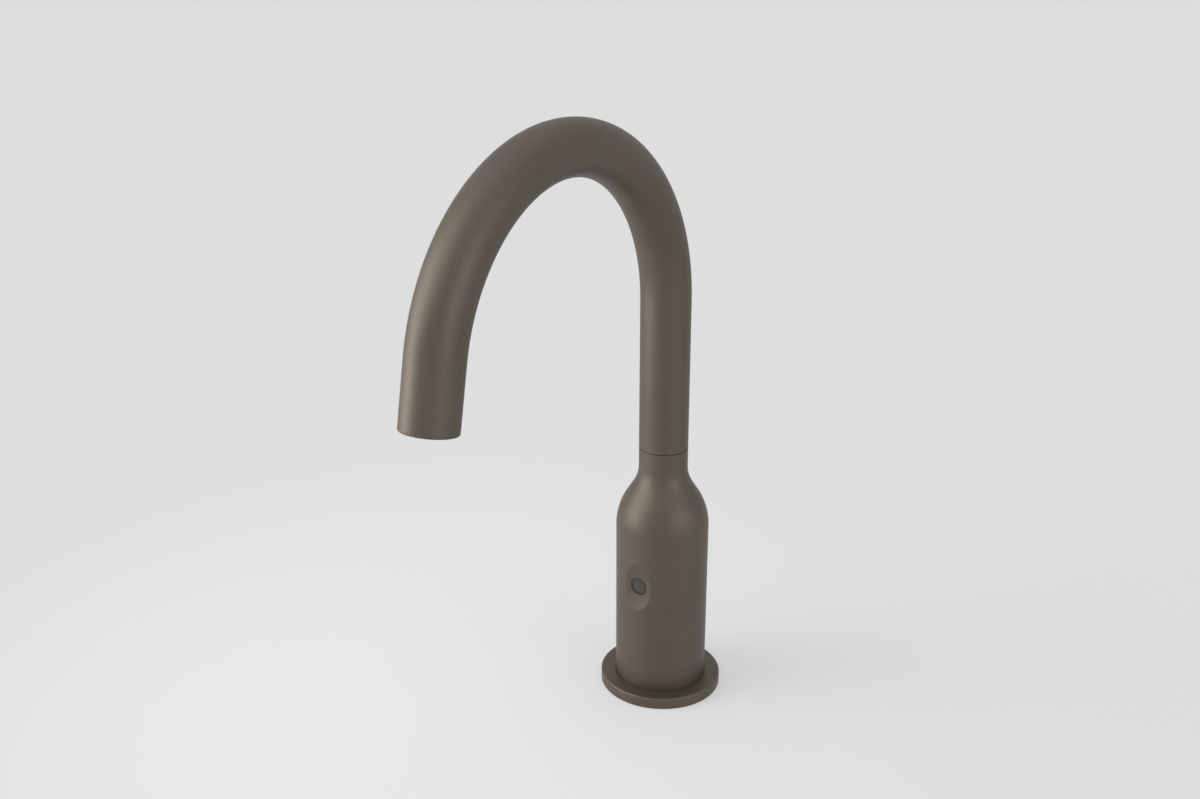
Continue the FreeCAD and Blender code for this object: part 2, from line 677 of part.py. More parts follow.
def sensor_board():
    """Circuit board behind the diodes."""
    half_x = CASE_HALF_X - CASE_WALL - EASE
    half_z = CASE_ROOM_Z - EASE
    back = CASE_BACK_Y - BOARD_GAP
    return block(-half_x, half_x, back - BOARD_T, back, SENSOR_Z - half_z, SENSOR_Z + half_z)


def diode(side):
    """Infrared diode with a round nose, standing on the board."""
    x = side * DIODE_DX
    nose = EYE_FACE_Y + DIODE_NOSE
    body = rod_y(DIODE_R, nose, CASE_BACK_Y - BOARD_GAP - BOARD_T, x, SENSOR_Z)
    return body.fuse(Part.makeSphere(DIODE_R, V(x, nose, SENSOR_Z))).removeSplitter()


def sensor_cover():
    """Back plate of the sensor's case."""
    back = CASE_BACK_Y + CASE_COVER_T
    plate = block(-CASE_HALF_X, CASE_HALF_X, CASE_BACK_Y, back, CASE_FOOT_Z, SENSOR_Z + CASE_HALF_Z)
    for z in case_screw_heights():
        plate = plate.cut(rod_y(CASE_SCREW_HOLE_R, CASE_BACK_Y - PAST, back + PAST, 0, z))
    return plate


def sensor_screws():
    """Two screws that hold the sensor's case and its cover to the body."""
    back = CASE_BACK_Y + CASE_COVER_T
    screws = []
    for z in case_screw_heights():
        shank = rod_y(CASE_SCREW_R, SENSOR_BOSS_Y - CASE_SCREW_DEPTH, back, 0, z)
        screws.append(shank.fuse(rod_y(CASE_HEAD_R, back, back + CASE_HEAD_T, 0, z)).removeSplitter())
    return Part.makeCompound(screws)


# ---- leads ----------------------------------------------------------------------------------

def sensor_lead():
    """Lead from the sensor's case down past the valve to the plug in the shank."""
    path = s_bend(PLUG_TOP_Z, PLUG_Y, LEAD_Y, LEAD_BEND_TOP_Z, CASE_FOOT_Z + LEAD_SOCKET, LEAD_BEND_R)
    rod = swept_tube(path, LEAD_R)
    ratio = rod.Volume / (math.pi * LEAD_R ** 2 * path.Length)
    print("sensor lead length", round(path.Length, 1), "bend radius", LEAD_BEND_R)
    print("sensor lead volume against section times length", round(ratio, 4))
    return rod


def coil_lead():
    """Short lead from the sensor's case to the coil."""
    x, y, bend = COIL_LEAD_X, COIL_LEAD_Y, COIL_LEAD_BEND_R
    bend_top = CASE_FOOT_Z - COIL_LEAD_DROP
    top = V(x, y, CASE_FOOT_Z)
    corner = V(x, y, bend_top)
    middle = V(x, y + bend * (1 - math.sqrt(0.5)), bend_top - bend * math.sqrt(0.5))
    turn_end = V(x, y + bend, bend_top - bend)
    end = V(x, -math.sqrt(COIL_R ** 2 - (x - COIL_LEAD_R) ** 2), bend_top - bend)
    edges = [Part.LineSegment(top, corner),
             Part.Arc(corner, middle, turn_end),
             Part.LineSegment(turn_end, end)]
    return swept_tube(Part.Wire([edge.toShape() for edge in edges]), COIL_LEAD_R)


def lead_plug():
    """Round plug socket that the lead ends in, in the shank's grommet."""
    points = [(0, PLUG_TOP_Z), (PLUG_R, PLUG_TOP_Z), (PLUG_R, PLUG_RIM_TOP_Z), (PLUG_RIM_R, PLUG_RIM_TOP_Z),
              (PLUG_RIM_R, PLUG_RIM_LOW_Z), (PLUG_R, PLUG_RIM_LOW_Z), (PLUG_R, PLUG_LOW_Z),
              (PLUG_CUP_R, PLUG_LOW_Z), (PLUG_CUP_R, PLUG_CUP_TOP_Z), (0, PLUG_CUP_TOP_Z)]
    key_slot = block(-PLUG_KEY_W / 2, PLUG_KEY_W / 2, PLUG_Y + PLUG_CUP_R - EASE, PLUG_Y + PLUG_KEY_R,
                     PLUG_LOW_Z - PAST, PLUG_KEY_TOP_Z)
    return turned(points, PLUG_Y).cut(key_slot)


def plug_pins():
    """Contacts in the plug socket."""
    pins = []
    for pin in range(PLUG_PINS):
        angle = 2 * math.pi * (pin + 0.5) / PLUG_PINS
        x = PIN_RING_R * math.cos(angle)
        y = PLUG_Y + PIN_RING_R * math.sin(angle)
        pins.append(disc(PIN_R, PLUG_LOW_Z + PIN_SUNK, PLUG_CUP_TOP_Z, x, y))
    return Part.makeCompound(pins)


# ---- mounting -------------------------------------------------------------------------------

def mounting_shank():
    """Hollow threaded shank with a head that screws into the body and carries the valve."""
    shank = turned([(SHANK_BORE_R, SHANK_FOOT_Z), (SHANK_R - SHANK_CHAMFER, SHANK_FOOT_Z),
                    (SHANK_R, SHANK_FOOT_Z + SHANK_CHAMFER), (SHANK_R, HEAD_LOW_Z), (HEAD_R, HEAD_LOW_Z),
                    (HEAD_R, HEAD_TOP_Z), (SHANK_BORE_R, HEAD_TOP_Z)])
    lead_slot = block(-HEAD_SLOT_HALF, HEAD_SLOT_HALF, HEAD_SLOT_Y, 0, HEAD_LOW_Z - PAST, HEAD_TOP_Z + PAST)
    shank = shank.cut(lead_slot)
    for x, y in base_screw_places():
        hole = disc(BASE_SCREW_R + FIT, BASE_SCREW_TIP_Z - SEAT_GAP, HEAD_TOP_Z + PAST, x, y)
        shank = shank.cut(hole)
    return shank


def shank_grommet():
    """Rubber plug that closes the shank round the inlet pipe and the plug socket."""
    low = SHANK_FOOT_Z - GROMMET_RIM_T
    grommet = disc(SHANK_BORE_R - FIT, SHANK_FOOT_Z, GROMMET_TOP_Z)
    grommet = grommet.fuse(disc(GROMMET_RIM_R, low, SHANK_FOOT_Z))
    for radius, y in ((PIPE_R, INLET_Y), (PLUG_R, PLUG_Y)):
        grommet = grommet.cut(disc(radius + FIT, low - PAST, GROMMET_TOP_Z + PAST, 0, y))
    return grommet.removeSplitter()


def rubber_washer():
    """Soft washer that presses on the underside of the deck."""
    return ring(RUBBER_R, SHANK_R + PLAY, WASHER_TOP_Z, -DECK_T)


def steel_washer():
    """Stiff washer between the soft washer and the nut."""
    return ring(STEEL_R, SHANK_R + PLAY, NUT_TOP_Z, WASHER_TOP_Z)


def back_nut():
    """Hexagon nut with chamfered corners that clamps the tap to the deck."""
    low = NUT_TOP_Z - NUT_T
    flat = NUT_AF / 2
    corner = NUT_AF / math.sqrt(3) + PLAY
    cone = turned([(0, low), (flat, low), (corner, low + NUT_CHAMFER), (corner, NUT_TOP_Z - NUT_CHAMFER),
                   (flat, NUT_TOP_Z), (0, NUT_TOP_Z)])
    return hexagon(NUT_AF, low, NUT_TOP_Z).common(cone).cut(disc(NUT_BORE_R, low - PAST, NUT_TOP_Z + PAST))


# ---- inlet ----------------------------------------------------------------------------------

def inlet_pipe():
    """Straight copper pipe from the inlet nipple up to the valve."""
    return ring(PIPE_R, PIPE_BORE_R, PIPE_FOOT_Z, PIPE_TOP_Z, 0, INLET_Y)


def inlet_nipple():
    """Male inlet thread with a collar that has two spanner flats."""
    bore = CAGE_R + FIT
    socket = PIPE_R + FIT
    nipple = turned([(bore, THREAD_LOW_Z), (THREAD_R - THREAD_CHAMFER, THREAD_LOW_Z),
                     (THREAD_R, THREAD_LOW_Z + THREAD_CHAMFER), (THREAD_R, THREAD_TOP_Z),
                     (COLLAR_R, THREAD_TOP_Z), (COLLAR_R, COLLAR_TOP_Z), (socket, COLLAR_TOP_Z),
                     (socket, PIPE_FOOT_Z), (bore, PIPE_FOOT_Z)], INLET_Y)
    flat = COLLAR_AF / 2
    reach = COLLAR_R + PAST
    for x0, x1 in ((-reach, -flat), (flat, reach)):
        nipple = nipple.cut(block(x0, x1, INLET_Y - reach, INLET_Y + reach,
                                  THREAD_TOP_Z + COLLAR_RIM, COLLAR_TOP_Z + PAST))
    return nipple


def inlet_filter():
    """Coarse strainer disc at the mouth of the inlet."""
    plate = ring(CAGE_R, CAGE_BORE_R, FILTER_LOW_Z, CAGE_LOW_Z, 0, INLET_Y)
    web_low = (FILTER_LOW_Z + CAGE_LOW_Z - FILTER_WEB_T) / 2
    plate = plate.fuse(disc(CAGE_BORE_R + EASE, web_low, web_low + FILTER_WEB_T, 0, INLET_Y))
    for row in range(-FILTER_ROWS, FILTER_ROWS + 1):
        for column in range(-FILTER_ROWS, FILTER_ROWS + 1):
            x = FILTER_PITCH * (column + row / 2)
            y = FILTER_PITCH * row * math.sqrt(3) / 2
            if math.hypot(x, y) < FILTER_REACH * FILTER_PITCH:
                plate = plate.cut(disc(FILTER_HOLE_R, FILTER_LOW_Z, CAGE_LOW_Z, x, INLET_Y + y))
    return plate.removeSplitter()


def check_valve_cage():
    """Sleeve of the check valve with its seat below and a bridge that guides the stem."""
    cage = turned([(POPPET_SEAT_R, CAGE_LOW_Z), (CAGE_R, CAGE_LOW_Z), (CAGE_R, CAGE_TOP_Z),
                   (CAGE_BORE_R, CAGE_TOP_Z), (CAGE_BORE_R, POPPET_SEAT_Z), (POPPET_SEAT_R, POPPET_SEAT_Z)],
                  INLET_Y)
    low = CAGE_TOP_Z - BRIDGE_T
    reach = CAGE_BORE_R + EASE
    cage = cage.fuse(block(-reach, reach, INLET_Y - BRIDGE_HALF, INLET_Y + BRIDGE_HALF, low, CAGE_TOP_Z))
    cage = cage.fuse(disc(BRIDGE_HUB_R, low, CAGE_TOP_Z, 0, INLET_Y))
    return cage.cut(disc(POPPET_STEM_R + EASE, low - PAST, CAGE_TOP_Z + PAST, 0, INLET_Y)).removeSplitter()


def check_poppet():
    """Disc of the check valve with its guide stem."""
    low = POPPET_SEAT_Z + FIT / 2
    disc_top = low + POPPET_T
    top = CAGE_TOP_Z + POPPET_STEM_OVER
    return turned([(0, low), (POPPET_R, low), (POPPET_R, disc_top), (POPPET_STEM_R, disc_top + POPPET_CONE),
                   (POPPET_STEM_R, top), (0, top)], INLET_Y)


def check_spring():
    """Room that the check valve's coil spring takes up."""
    low = POPPET_SEAT_Z + POPPET_T + POPPET_CONE + EASE
    return ring(SPRING_OUT_R, SPRING_IN_R, low, CAGE_TOP_Z - BRIDGE_T, 0, INLET_Y)


# ---- solenoid valve -----------------------------------------------------------------------------

def ear_pair(low, high, hole_r):
    """Two rounded lugs for the cover's screws, with their holes."""
    ears = block(-EAR_X, EAR_X, -EAR_R, EAR_R, low, high)
    holes = []
    for side in (-1, 1):
        ears = ears.fuse(disc(EAR_R, low, high, side * EAR_X))
        holes.append(disc(hole_r, low - PAST, high + PAST, side * EAR_X))
    return ears, Part.makeCompound(holes)


def valve_blank(ears):
    """Outside of the valve body: base plate, drum, lugs and the riser's boss with its web."""
    return disc(PLATE_R, HEAD_TOP_Z, PLATE_TOP_Z).fuse(
        [disc(VALVE_R, PLATE_TOP_Z, VALVE_TOP_Z), ears,
         disc(RISER_BOSS_R, PLATE_TOP_Z, VALVE_TOP_Z, 0, RISER_Y),
         block(-RISER_WEB_HALF, RISER_WEB_HALF, INLET_Y, RISER_Y, PLATE_TOP_Z, RISER_WEB_TOP_Z)])


def valve_body():
    """Moulded valve body on its base plate: inlet socket, chamber, seat and outlet boss."""
    ears, holes = ear_pair(EAR_LOW_Z, VALVE_TOP_Z, EAR_SCREW_R + FIT)
    body = valve_blank(ears)
    socket = PIPE_R + FIT
    foot = HEAD_TOP_Z - PAST
    top = VALVE_TOP_Z + PAST
    cuts = [holes,
            ring(CHAMBER_R, CHAMBER_HUB_R, CHAMBER_LOW_Z, top),
            disc(HUB_R, VALVE_SEAT_Z, top),
            ring(RIM_R + EASE, HUB_TOP_R, RIM_LOW_Z, top),
            disc(socket, foot, PIPE_TOP_Z, 0, INLET_Y),
            disc(PIPE_R + PIPE_SEAL_W + FIT, foot, HEAD_TOP_Z + PIPE_SEAL_ROOM, 0, INLET_Y),
            disc(SEAT_BORE_R, OUTLET_Z, VALVE_SEAT_Z + PAST),
            rod_y(SEAT_BORE_R, 0, RISER_Y, 0, OUTLET_Z),
            disc(RISER_R + FIT, RISER_FOOT_Z, top, 0, RISER_Y),
            disc(RISER_BORE_R, OUTLET_Z - RISER_SUMP, RISER_FOOT_Z + PAST, 0, RISER_Y),
            block(-PLATE_SLOT_HALF, PLATE_SLOT_HALF, -PLATE_R - PAST, PLATE_SLOT_Y, foot, PLATE_TOP_Z)]
    for side in (-1, 1):
        cuts.append(disc(FEED_R, PIPE_TOP_Z - PAST, CHAMBER_LOW_Z + PAST, side * FEED_X, FEED_Y))
    for x, y in base_screw_places():
        cuts.append(disc(BASE_SCREW_R + PLAY, foot, PLATE_TOP_Z + PAST, x, y))
    for tool in cuts:
        body = body.cut(tool)
    return body.removeSplitter()


def valve_cover():
    """Cover over the diaphragm, with the closed guide tube of the plunger."""
    ears, holes = ear_pair(VALVE_TOP_Z, COVER_TOP_Z, EAR_COVER_HOLE_R)
    cover = disc(VALVE_R, VALVE_TOP_Z, COVER_TOP_Z).fuse([ears, disc(GUIDE_R, COVER_TOP_Z, GUIDE_TOP_Z)])
    cover = cover.cut(disc(COVER_ROOM_R, VALVE_TOP_Z - PAST, COVER_ROOM_TOP_Z))
    cover = cover.cut(disc(GUIDE_BORE_R, COVER_ROOM_TOP_Z - PAST, GUIDE_CEILING_Z))
    cover = cover.cut(disc(RISER_PASS_R, VALVE_TOP_Z - PAST, COVER_TOP_Z + PAST, 0, RISER_Y))
    return cover.cut(holes).removeSplitter()


def diaphragm():
    """Rubber diaphragm: rim clamped under the cover, thin web and a hub on the seat."""
    return turned([(PILOT_R, VALVE_SEAT_Z), (HUB_R, VALVE_SEAT_Z), (HUB_R, WEB_LOW_Z), (WEB_R, WEB_LOW_Z),
                   (WEB_R, RIM_LOW_Z), (RIM_R, RIM_LOW_Z), (RIM_R, VALVE_TOP_Z), (WEB_R, VALVE_TOP_Z),
                   (WEB_R, WEB_TOP_Z), (HUB_TOP_R, WEB_TOP_Z), (HUB_TOP_R, HUB_TOP_Z), (PILOT_R, HUB_TOP_Z)])


def plunger():
    """Steel plunger that opens the pilot hole, bored for its spring, with two flutes."""
    rod = disc(PLUNGER_R, PLUNGER_LOW_Z, PLUNGER_TOP_Z)
    rod = rod.cut(disc(PLUNGER_BORE_R, PLUNGER_TOP_Z - PLUNGER_BORE_DEPTH, PLUNGER_TOP_Z + PAST))
    inner = PLUNGER_R - FLUTE_DEPTH
    outer = PLUNGER_R + PAST
    for x0, x1 in ((inner, outer), (-outer, -inner)):
        rod = rod.cut(block(x0, x1, -FLUTE_HALF, FLUTE_HALF, PLUNGER_LOW_Z - PAST, PLUNGER_TOP_Z + PAST))
    return rod


def plunger_spring():
    """Room that the plunger's coil spring takes up."""
    return ring(SPRING_OUT_R, SPRING_IN_R, PLUNGER_TOP_Z - PLUNGER_BORE_DEPTH, GUIDE_CEILING_Z)


def coil():
    """Moulded coil round the guide tube."""
    return ring(COIL_R, GUIDE_R + EASE, COIL_LOW_Z, COIL_TOP_Z)


def coil_yoke():
    """Steel strip bent round the coil."""
    inner = COIL_R + PLAY
    outer = inner + YOKE_T
    low = COIL_LOW_Z - YOKE_T
    high = COIL_TOP_Z + YOKE_T
    yoke = block(-outer, outer, -YOKE_HALF_Y, YOKE_HALF_Y, low, high)
    yoke = yoke.cut(block(-inner, inner, -YOKE_HALF_Y - PAST, YOKE_HALF_Y + PAST, COIL_LOW_Z, COIL_TOP_Z))
    return yoke.cut(disc(GUIDE_R + EASE, low - PAST, high + PAST))


def coil_nut():
    """Nut that holds the coil on the guide tube."""
    low = COIL_TOP_Z + YOKE_T
    top = low + COIL_NUT_T
    return hexagon(COIL_NUT_AF, low, top).cut(disc(GUIDE_R + FIT, low - PAST, top + PAST))


def valve_cover_screws():
    """Two screws that clamp the cover and the diaphragm."""
    screws = [socket_screw(EAR_SCREW_HEAD_R, EAR_SCREW_R, COVER_TOP_Z, COVER_TOP_Z + EAR_SCREW_HEAD_T,
                           EAR_LOW_Z, side * EAR_X, 0) for side in (-1, 1)]
    return Part.makeCompound(screws)


def valve_base_screws():
    """Four screws that hold the valve to the shank's head."""
    screws = [socket_screw(BASE_SCREW_HEAD_R, BASE_SCREW_R, PLATE_TOP_Z, PLATE_TOP_Z + BASE_SCREW_HEAD_T,
                           BASE_SCREW_TIP_Z, x, y) for x, y in base_screw_places()]
    return Part.makeCompound(screws)


def inlet_seal():
    """Seal round the inlet pipe under the valve."""
    return seal_ring(PIPE_R, PIPE_R + PIPE_SEAL_W + FIT, HEAD_TOP_Z, PIPE_SEAL_ROOM, INLET_Y)


def outlet_pipe():
    """Riser from the valve that bends over to the middle of the neck."""
    path = s_bend(RISER_FOOT_Z, RISER_Y, 0, RISER_BEND_TOP_Z, RISER_TOP_Z, RISER_Y)
    return swept_tube(path, RISER_R, RISER_BORE_R)


def riser_seal():
    """Seal round the top of the riser, in the body's boss."""
    return seal_ring(RISER_R, RISER_R + RISER_SEAL_W, BOSS_LOW_Z, RISER_SEAL_ROOM)


# ---- every piece ------------------------------------------------------------------------------

NODES = {
    "body_shell": body_shell,
    "base_flange": base_flange,
    "centring_ring": centring_ring,
    "base_seal": base_seal,
    "swivel_ring": swivel_ring,
    "spout_grub_screw": spout_grub_screw,
    "sensor_window": sensor_window,
    "sensor_bezel": sensor_bezel,
    "sensor_housing": sensor_housing,
    "sensor_gasket": sensor_gasket,
    "sensor_board": sensor_board,
    "ir_emitter": lambda: diode(-1),
    "ir_receiver": lambda: diode(1),
    "sensor_cover": sensor_cover,
    "sensor_screws": sensor_screws,
    "sensor_lead": sensor_lead,
    "coil_lead": coil_lead,
    "lead_plug": lead_plug,
    "plug_pins": plug_pins,
    "mounting_shank": mounting_shank,
    "shank_grommet": shank_grommet,
    "inlet_pipe": inlet_pipe,
    "inlet_nipple": inlet_nipple,
    "inlet_filter": inlet_filter,
    "inlet_seal": inlet_seal,
    "check_valve_cage": check_valve_cage,
    "check_spring": check_spring,
    "valve_body": valve_body,
    "valve_cover": valve_cover,
    "diaphragm": diaphragm,
    "plunger_spring": plunger_spring,
    "coil": coil,
    "coil_yoke": coil_yoke,
    "coil_nut": coil_nut,
    "valve_cover_screws": valve_cover_screws,
    "valve_base_screws": valve_base_screws,
    "outlet_pipe": outlet_pipe,
    "riser_seal": riser_seal,
    "spout_tube": spout_tube,
    "spout_nipple": spout_nipple,
    "nipple_orings": nipple_orings,
    "outlet_insert": outlet_insert,
    "aerator_cartridge": aerator_cartridge,
    "aerator_screen": aerator_screen,
    "flow_regulator": flow_regulator,
    "aerator_washer": aerator_washer,
    "plunger": plunger,
    "check_poppet": check_poppet,
    "rubber_washer": rubber_washer,
    "steel_washer": steel_washer,
    "back_nut": back_nut,
}

os.makedirs("parts", exist_ok=True)
for name, make in NODES.items():
    shape = make()
    assert shape.isValid(), name
    shape.exportStep("parts/" + name + ".step")
    print(name, len(shape.Solids), "solids", round(shape.Volume, 1), "mm3")
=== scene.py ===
import json
import math

import bmesh
import bpy
from mathutils import Matrix, Vector

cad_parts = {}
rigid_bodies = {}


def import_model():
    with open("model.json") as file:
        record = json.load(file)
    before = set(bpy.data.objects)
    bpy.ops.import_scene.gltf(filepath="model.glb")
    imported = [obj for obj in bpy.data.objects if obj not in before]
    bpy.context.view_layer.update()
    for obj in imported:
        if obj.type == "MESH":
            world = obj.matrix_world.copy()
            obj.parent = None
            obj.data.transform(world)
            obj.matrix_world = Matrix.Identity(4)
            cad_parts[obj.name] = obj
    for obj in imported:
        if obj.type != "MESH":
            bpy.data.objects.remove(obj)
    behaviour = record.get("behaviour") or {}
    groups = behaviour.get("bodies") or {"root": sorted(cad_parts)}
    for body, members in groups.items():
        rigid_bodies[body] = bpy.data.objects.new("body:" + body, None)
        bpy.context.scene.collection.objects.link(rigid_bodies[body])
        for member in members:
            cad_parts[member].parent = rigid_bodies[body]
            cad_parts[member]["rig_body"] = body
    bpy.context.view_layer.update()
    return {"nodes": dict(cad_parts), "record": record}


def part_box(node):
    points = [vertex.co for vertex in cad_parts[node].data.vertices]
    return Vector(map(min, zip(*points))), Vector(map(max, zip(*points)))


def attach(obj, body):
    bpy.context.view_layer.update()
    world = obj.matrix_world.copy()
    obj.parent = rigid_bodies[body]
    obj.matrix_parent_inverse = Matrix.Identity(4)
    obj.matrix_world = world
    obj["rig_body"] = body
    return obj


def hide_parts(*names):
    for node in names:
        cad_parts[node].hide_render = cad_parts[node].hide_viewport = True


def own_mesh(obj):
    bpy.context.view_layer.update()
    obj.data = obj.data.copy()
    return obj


# A deck-mounted touch-free tap: satin bronze gooseneck spout on a bottle-shaped body.
# Metres. +Z up, the spout and the sensor's eye point towards -Y.
# Pieces are drawn in millimetres and scaled once, when they are finished.

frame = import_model()

MM = 0.001
SLOTS = {part["node"]: part["material_slot"] for part in frame["record"]["subparts"]}


def lowest(node):
    """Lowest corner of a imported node's box, in millimetres."""
    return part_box(node)[0] / MM


def highest(node):
    """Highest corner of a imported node's box, in millimetres."""
    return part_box(node)[1] / MM


# ---- sizes, in millimetres ------------------------------------------------------------------
TUBE_R = highest("spout_tube").x
TUBE_LOW_Z = lowest("spout_tube").z
TUBE_WALL = 1.6
BEND_R = 85.5                # on the tube's centre line
BEND_ANGLE = 168.0
BEND_Z = 214.0
TAIL = 29.0                  # straight run between the bend and the mouth
STEM_STEPS = 12              # sections along the three stretches of the spout
BEND_STEPS = 112
TAIL_STEPS = 8
MOUTH_ROUND = 0.8
SEAM_ROUND = 0.12
BURR_ROUND = 0.15            # broken inner edges

BODY_R = highest("body_shell").x
BODY_FOOT_Z = lowest("body_shell").z
NECK_TOP_Z = highest("body_shell").z
BODY_BORE_R = 21.0
HEAD_EASE = 0.1              # room round the shank's head
FOOT_ROUND = 0.2
FOOT_LIP = 2.0               # width of the body's foot outside the shank's head
WALL_LOW_STEPS = 12          # rows of the straight wall below and above the sensor's patch
WALL_HIGH_STEPS = 4
SHOULDER_Z = 93.3            # the straight wall ends here
SHOULDER_R = 34.0            # convex round of the shoulder
SHOULDER_SLOPE = 32.6        # degrees from upright, where it is steepest
SHOULDER_STEPS = 22          # in each of its two rounds
NECK_Z = 127.0               # the shoulder has run out into the neck
SOCKET_R = 9.08
SOCKET_FLOOR_Z = 106.0
RISER_HOLE_R = 4.1
RISER_SEAL_R = 5.2
RISER_SEAL_TOP_Z = 100.5
BOSS_R = 12.2
BOSS_LOW_Z = 98.0
CONE_LOW_Z = 97.0            # the bore narrows to the boss between these heights
CONE_TOP_Z = 116.0

FLANGE_R = highest("base_flange").x
FLANGE_T = highest("base_flange").z
FLANGE_EDGE = 0.8
FLANGE_FOOT_ROUND = 0.15
FLANGE_SEAT_R = BODY_R + 0.15
FLANGE_SEAT_ROUND = 0.1
FLANGE_BORE_R = 14.3
FLANGE_HOLE_R = 15.3
FLANGE_HOLE_TOP_Z = 3.0
HOLE_CHAMFER = 0.4
GROOVE_IN_R = 25.0           # the seal's groove in the flange
GROOVE_OUT_R = 28.0

SENSOR_Z = 66.0
SCOOP_R = 48.2               # ball that hollows the front of the body
SCOOP_DEPTH = 1.8
SCOOP_SOFT = 0.12            # height over which the scoop's edge is rounded
SCOOP_SPREAD = 1.3           # fine rows reach this far to both sides of the scoop's edge
EYE_HOLE_R = 4.8
EYE_R = highest("sensor_bezel").x
EYE_FACE_Y = lowest("sensor_bezel").y
EYE_ROUND = 0.25
GLASS_R = highest("sensor_window").x
GLASS_T = 1.8
GLASS_RISE = 0.25            # height of the window's dome
GLASS_ROUND = 0.1
GLASS_STEPS = 12             # rings of the dome
SENSOR_BOSS_Y = -17.0        # flat inside face that the sensor is screwed to
SENSOR_BOSS_R = 13.0
SENSOR_BOSS_SPREAD = 0.05    # fine rows reach this far to both sides of the boss's edge

GRUB_Z = 131.0
GRUB_HOLE_R = 2.5

SHANK_R = 14.0
SHANK_ROOT_R = 13.08         # bottom of its M28 x 1.5 thread
SHANK_PITCH = 1.5
SHANK_BORE_R = 11.3
SHANK_FOOT_Z = lowest("mounting_shank").z
SHANK_THREAD_TOP_Z = -1.0
SHANK_RUNOUT = 0.8           # cone from the thread's root to the plain shank
SHANK_NOTCH_LOW_Z = 6.0      # slot for the lead, through the head
HEAD_R = highest("mounting_shank").x
HEAD_LOW_Z = 7.0
HEAD_TOP_Z = highest("mounting_shank").z
HEAD_ROUND = 0.3
NOTCH_HALF = 2.6
NOTCH_REACH = 15.4
BASE_SCREWS = [(12.6, 10.6), (-12.6, 10.6), (-12.6, -10.6), (12.6, -10.6)]
BASE_SCREW_HOLE_R = 1.45
BASE_SCREW_HOLE_LOW_Z = 8.85

NUT_ROOT_R = 14.9
NUT_BORE_R = 14.1
NUT_MOUTH_R = 15.4           # countersink of the bore
NUT_FLAT = highest("back_nut").y
NUT_CORNER = highest("back_nut").x
NUT_FACE_R = NUT_FLAT - 0.35
NUT_CORNER_CUT = 0.2
NUT_SIDE_TURN = math.radians(60)
NUT_CHAMFER_SLOPE = 0.54     # height lost per millimetre outside the face

WASHER_BORE_R = 14.2
RUBBER_ROUND = 0.6
STEEL_ROUND = 0.3
SEAL_BORE_R = 25.1
SEAL_ROUND = 0.25

INLET_Y = 4.0
INLET_R = 8.33               # G 3/8 male thread
INLET_ROOT_R = 7.475
INLET_PITCH = 1.337
INLET_BORE_R = 5.8
INLET_FOOT_Z = lowest("inlet_nipple").z
INLET_THREAD_TOP_Z = -70.0
COLLAR_R = highest("inlet_nipple").x
COLLAR_TOP_Z = highest("inlet_nipple").z
COLLAR_FLAT = 8.0
COLLAR_FLAT_LOW_Z = -68.8
PIPE_SOCKET_R = 6.05
PIPE_SOCKET_FLOOR_Z = -69.0
THREAD_LEAD = 0.3            # plain chamfered run before a thread starts

WIRE_R = 0.36                # both coil springs
WIRE_SIDES = 10
COIL_STEPS = 28              # sections in a turn
PLUNGER_TURNS = 9
CHECK_TURNS = 4

SEGMENTS = 192               # round the body, the flange and the shank
TUBE_SEGMENTS = 128
SMALL_SEGMENTS = 96
HOLE_SEGMENTS = 24
SPOKE_STEPS = 5              # even stretches of a spoke round a hole
EDGE_STEPS = 12              # fine stretches of a spoke across an edge
HALVINGS = 40                # of a stretch, to find the edge in it
AXIS_R = 0.001               # ring that closes a solid on its axis
SAME_POINT = 1e-4            # points this close are joined
NO_LENGTH = 1e-5             # edges this short are dropped

# Profile of one thread pitch: share of the pitch, share of the thread's depth.
THREAD_PROFILE = ((0.0, 0.0), (0.22, 0.0), (0.54, 1.0), (0.68, 1.0))

# ---- mesh helpers ---------------------------------------------------------------------------


def skin(bm, rows, closed=False, split=False):
    """Quads between rows of points.

    A row runs round unless split. Closed joins the last row to the first."""
    made = [[bm.verts.new(point) for point in row] for row in rows]
    if closed:
        made.append(made[0])
    for low, high in zip(made, made[1:]):
        for i in range(len(low) - 1 if split else len(low)):
            j = (i + 1) % len(low)
            bm.faces.new((low[i], low[j], high[j], high[i]))
    return made


def finished(name, bm, node, place=None, sharp=38.0):
    """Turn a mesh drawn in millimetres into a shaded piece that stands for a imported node."""
    bmesh.ops.remove_doubles(bm, verts=bm.verts, dist=SAME_POINT)
    bmesh.ops.dissolve_degenerate(bm, edges=bm.edges, dist=NO_LENGTH)
    bmesh.ops.recalc_face_normals(bm, faces=bm.faces)
    if place is not None:
        bm.transform(place)
    bm.transform(Matrix.Scale(MM, 4))
    mesh = bpy.data.meshes.new(name)
    bm.to_mesh(mesh)
    bm.free()
    mesh.shade_smooth()
    mesh.set_sharp_from_angle(angle=math.radians(sharp))
    mesh.materials.append(FINISHES[SLOTS[node]])
    piece = bpy.data.objects.new(name, mesh)
    bpy.context.scene.collection.objects.link(piece)
    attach(piece, frame["nodes"][node]["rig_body"])
    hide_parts(node)
    return piece


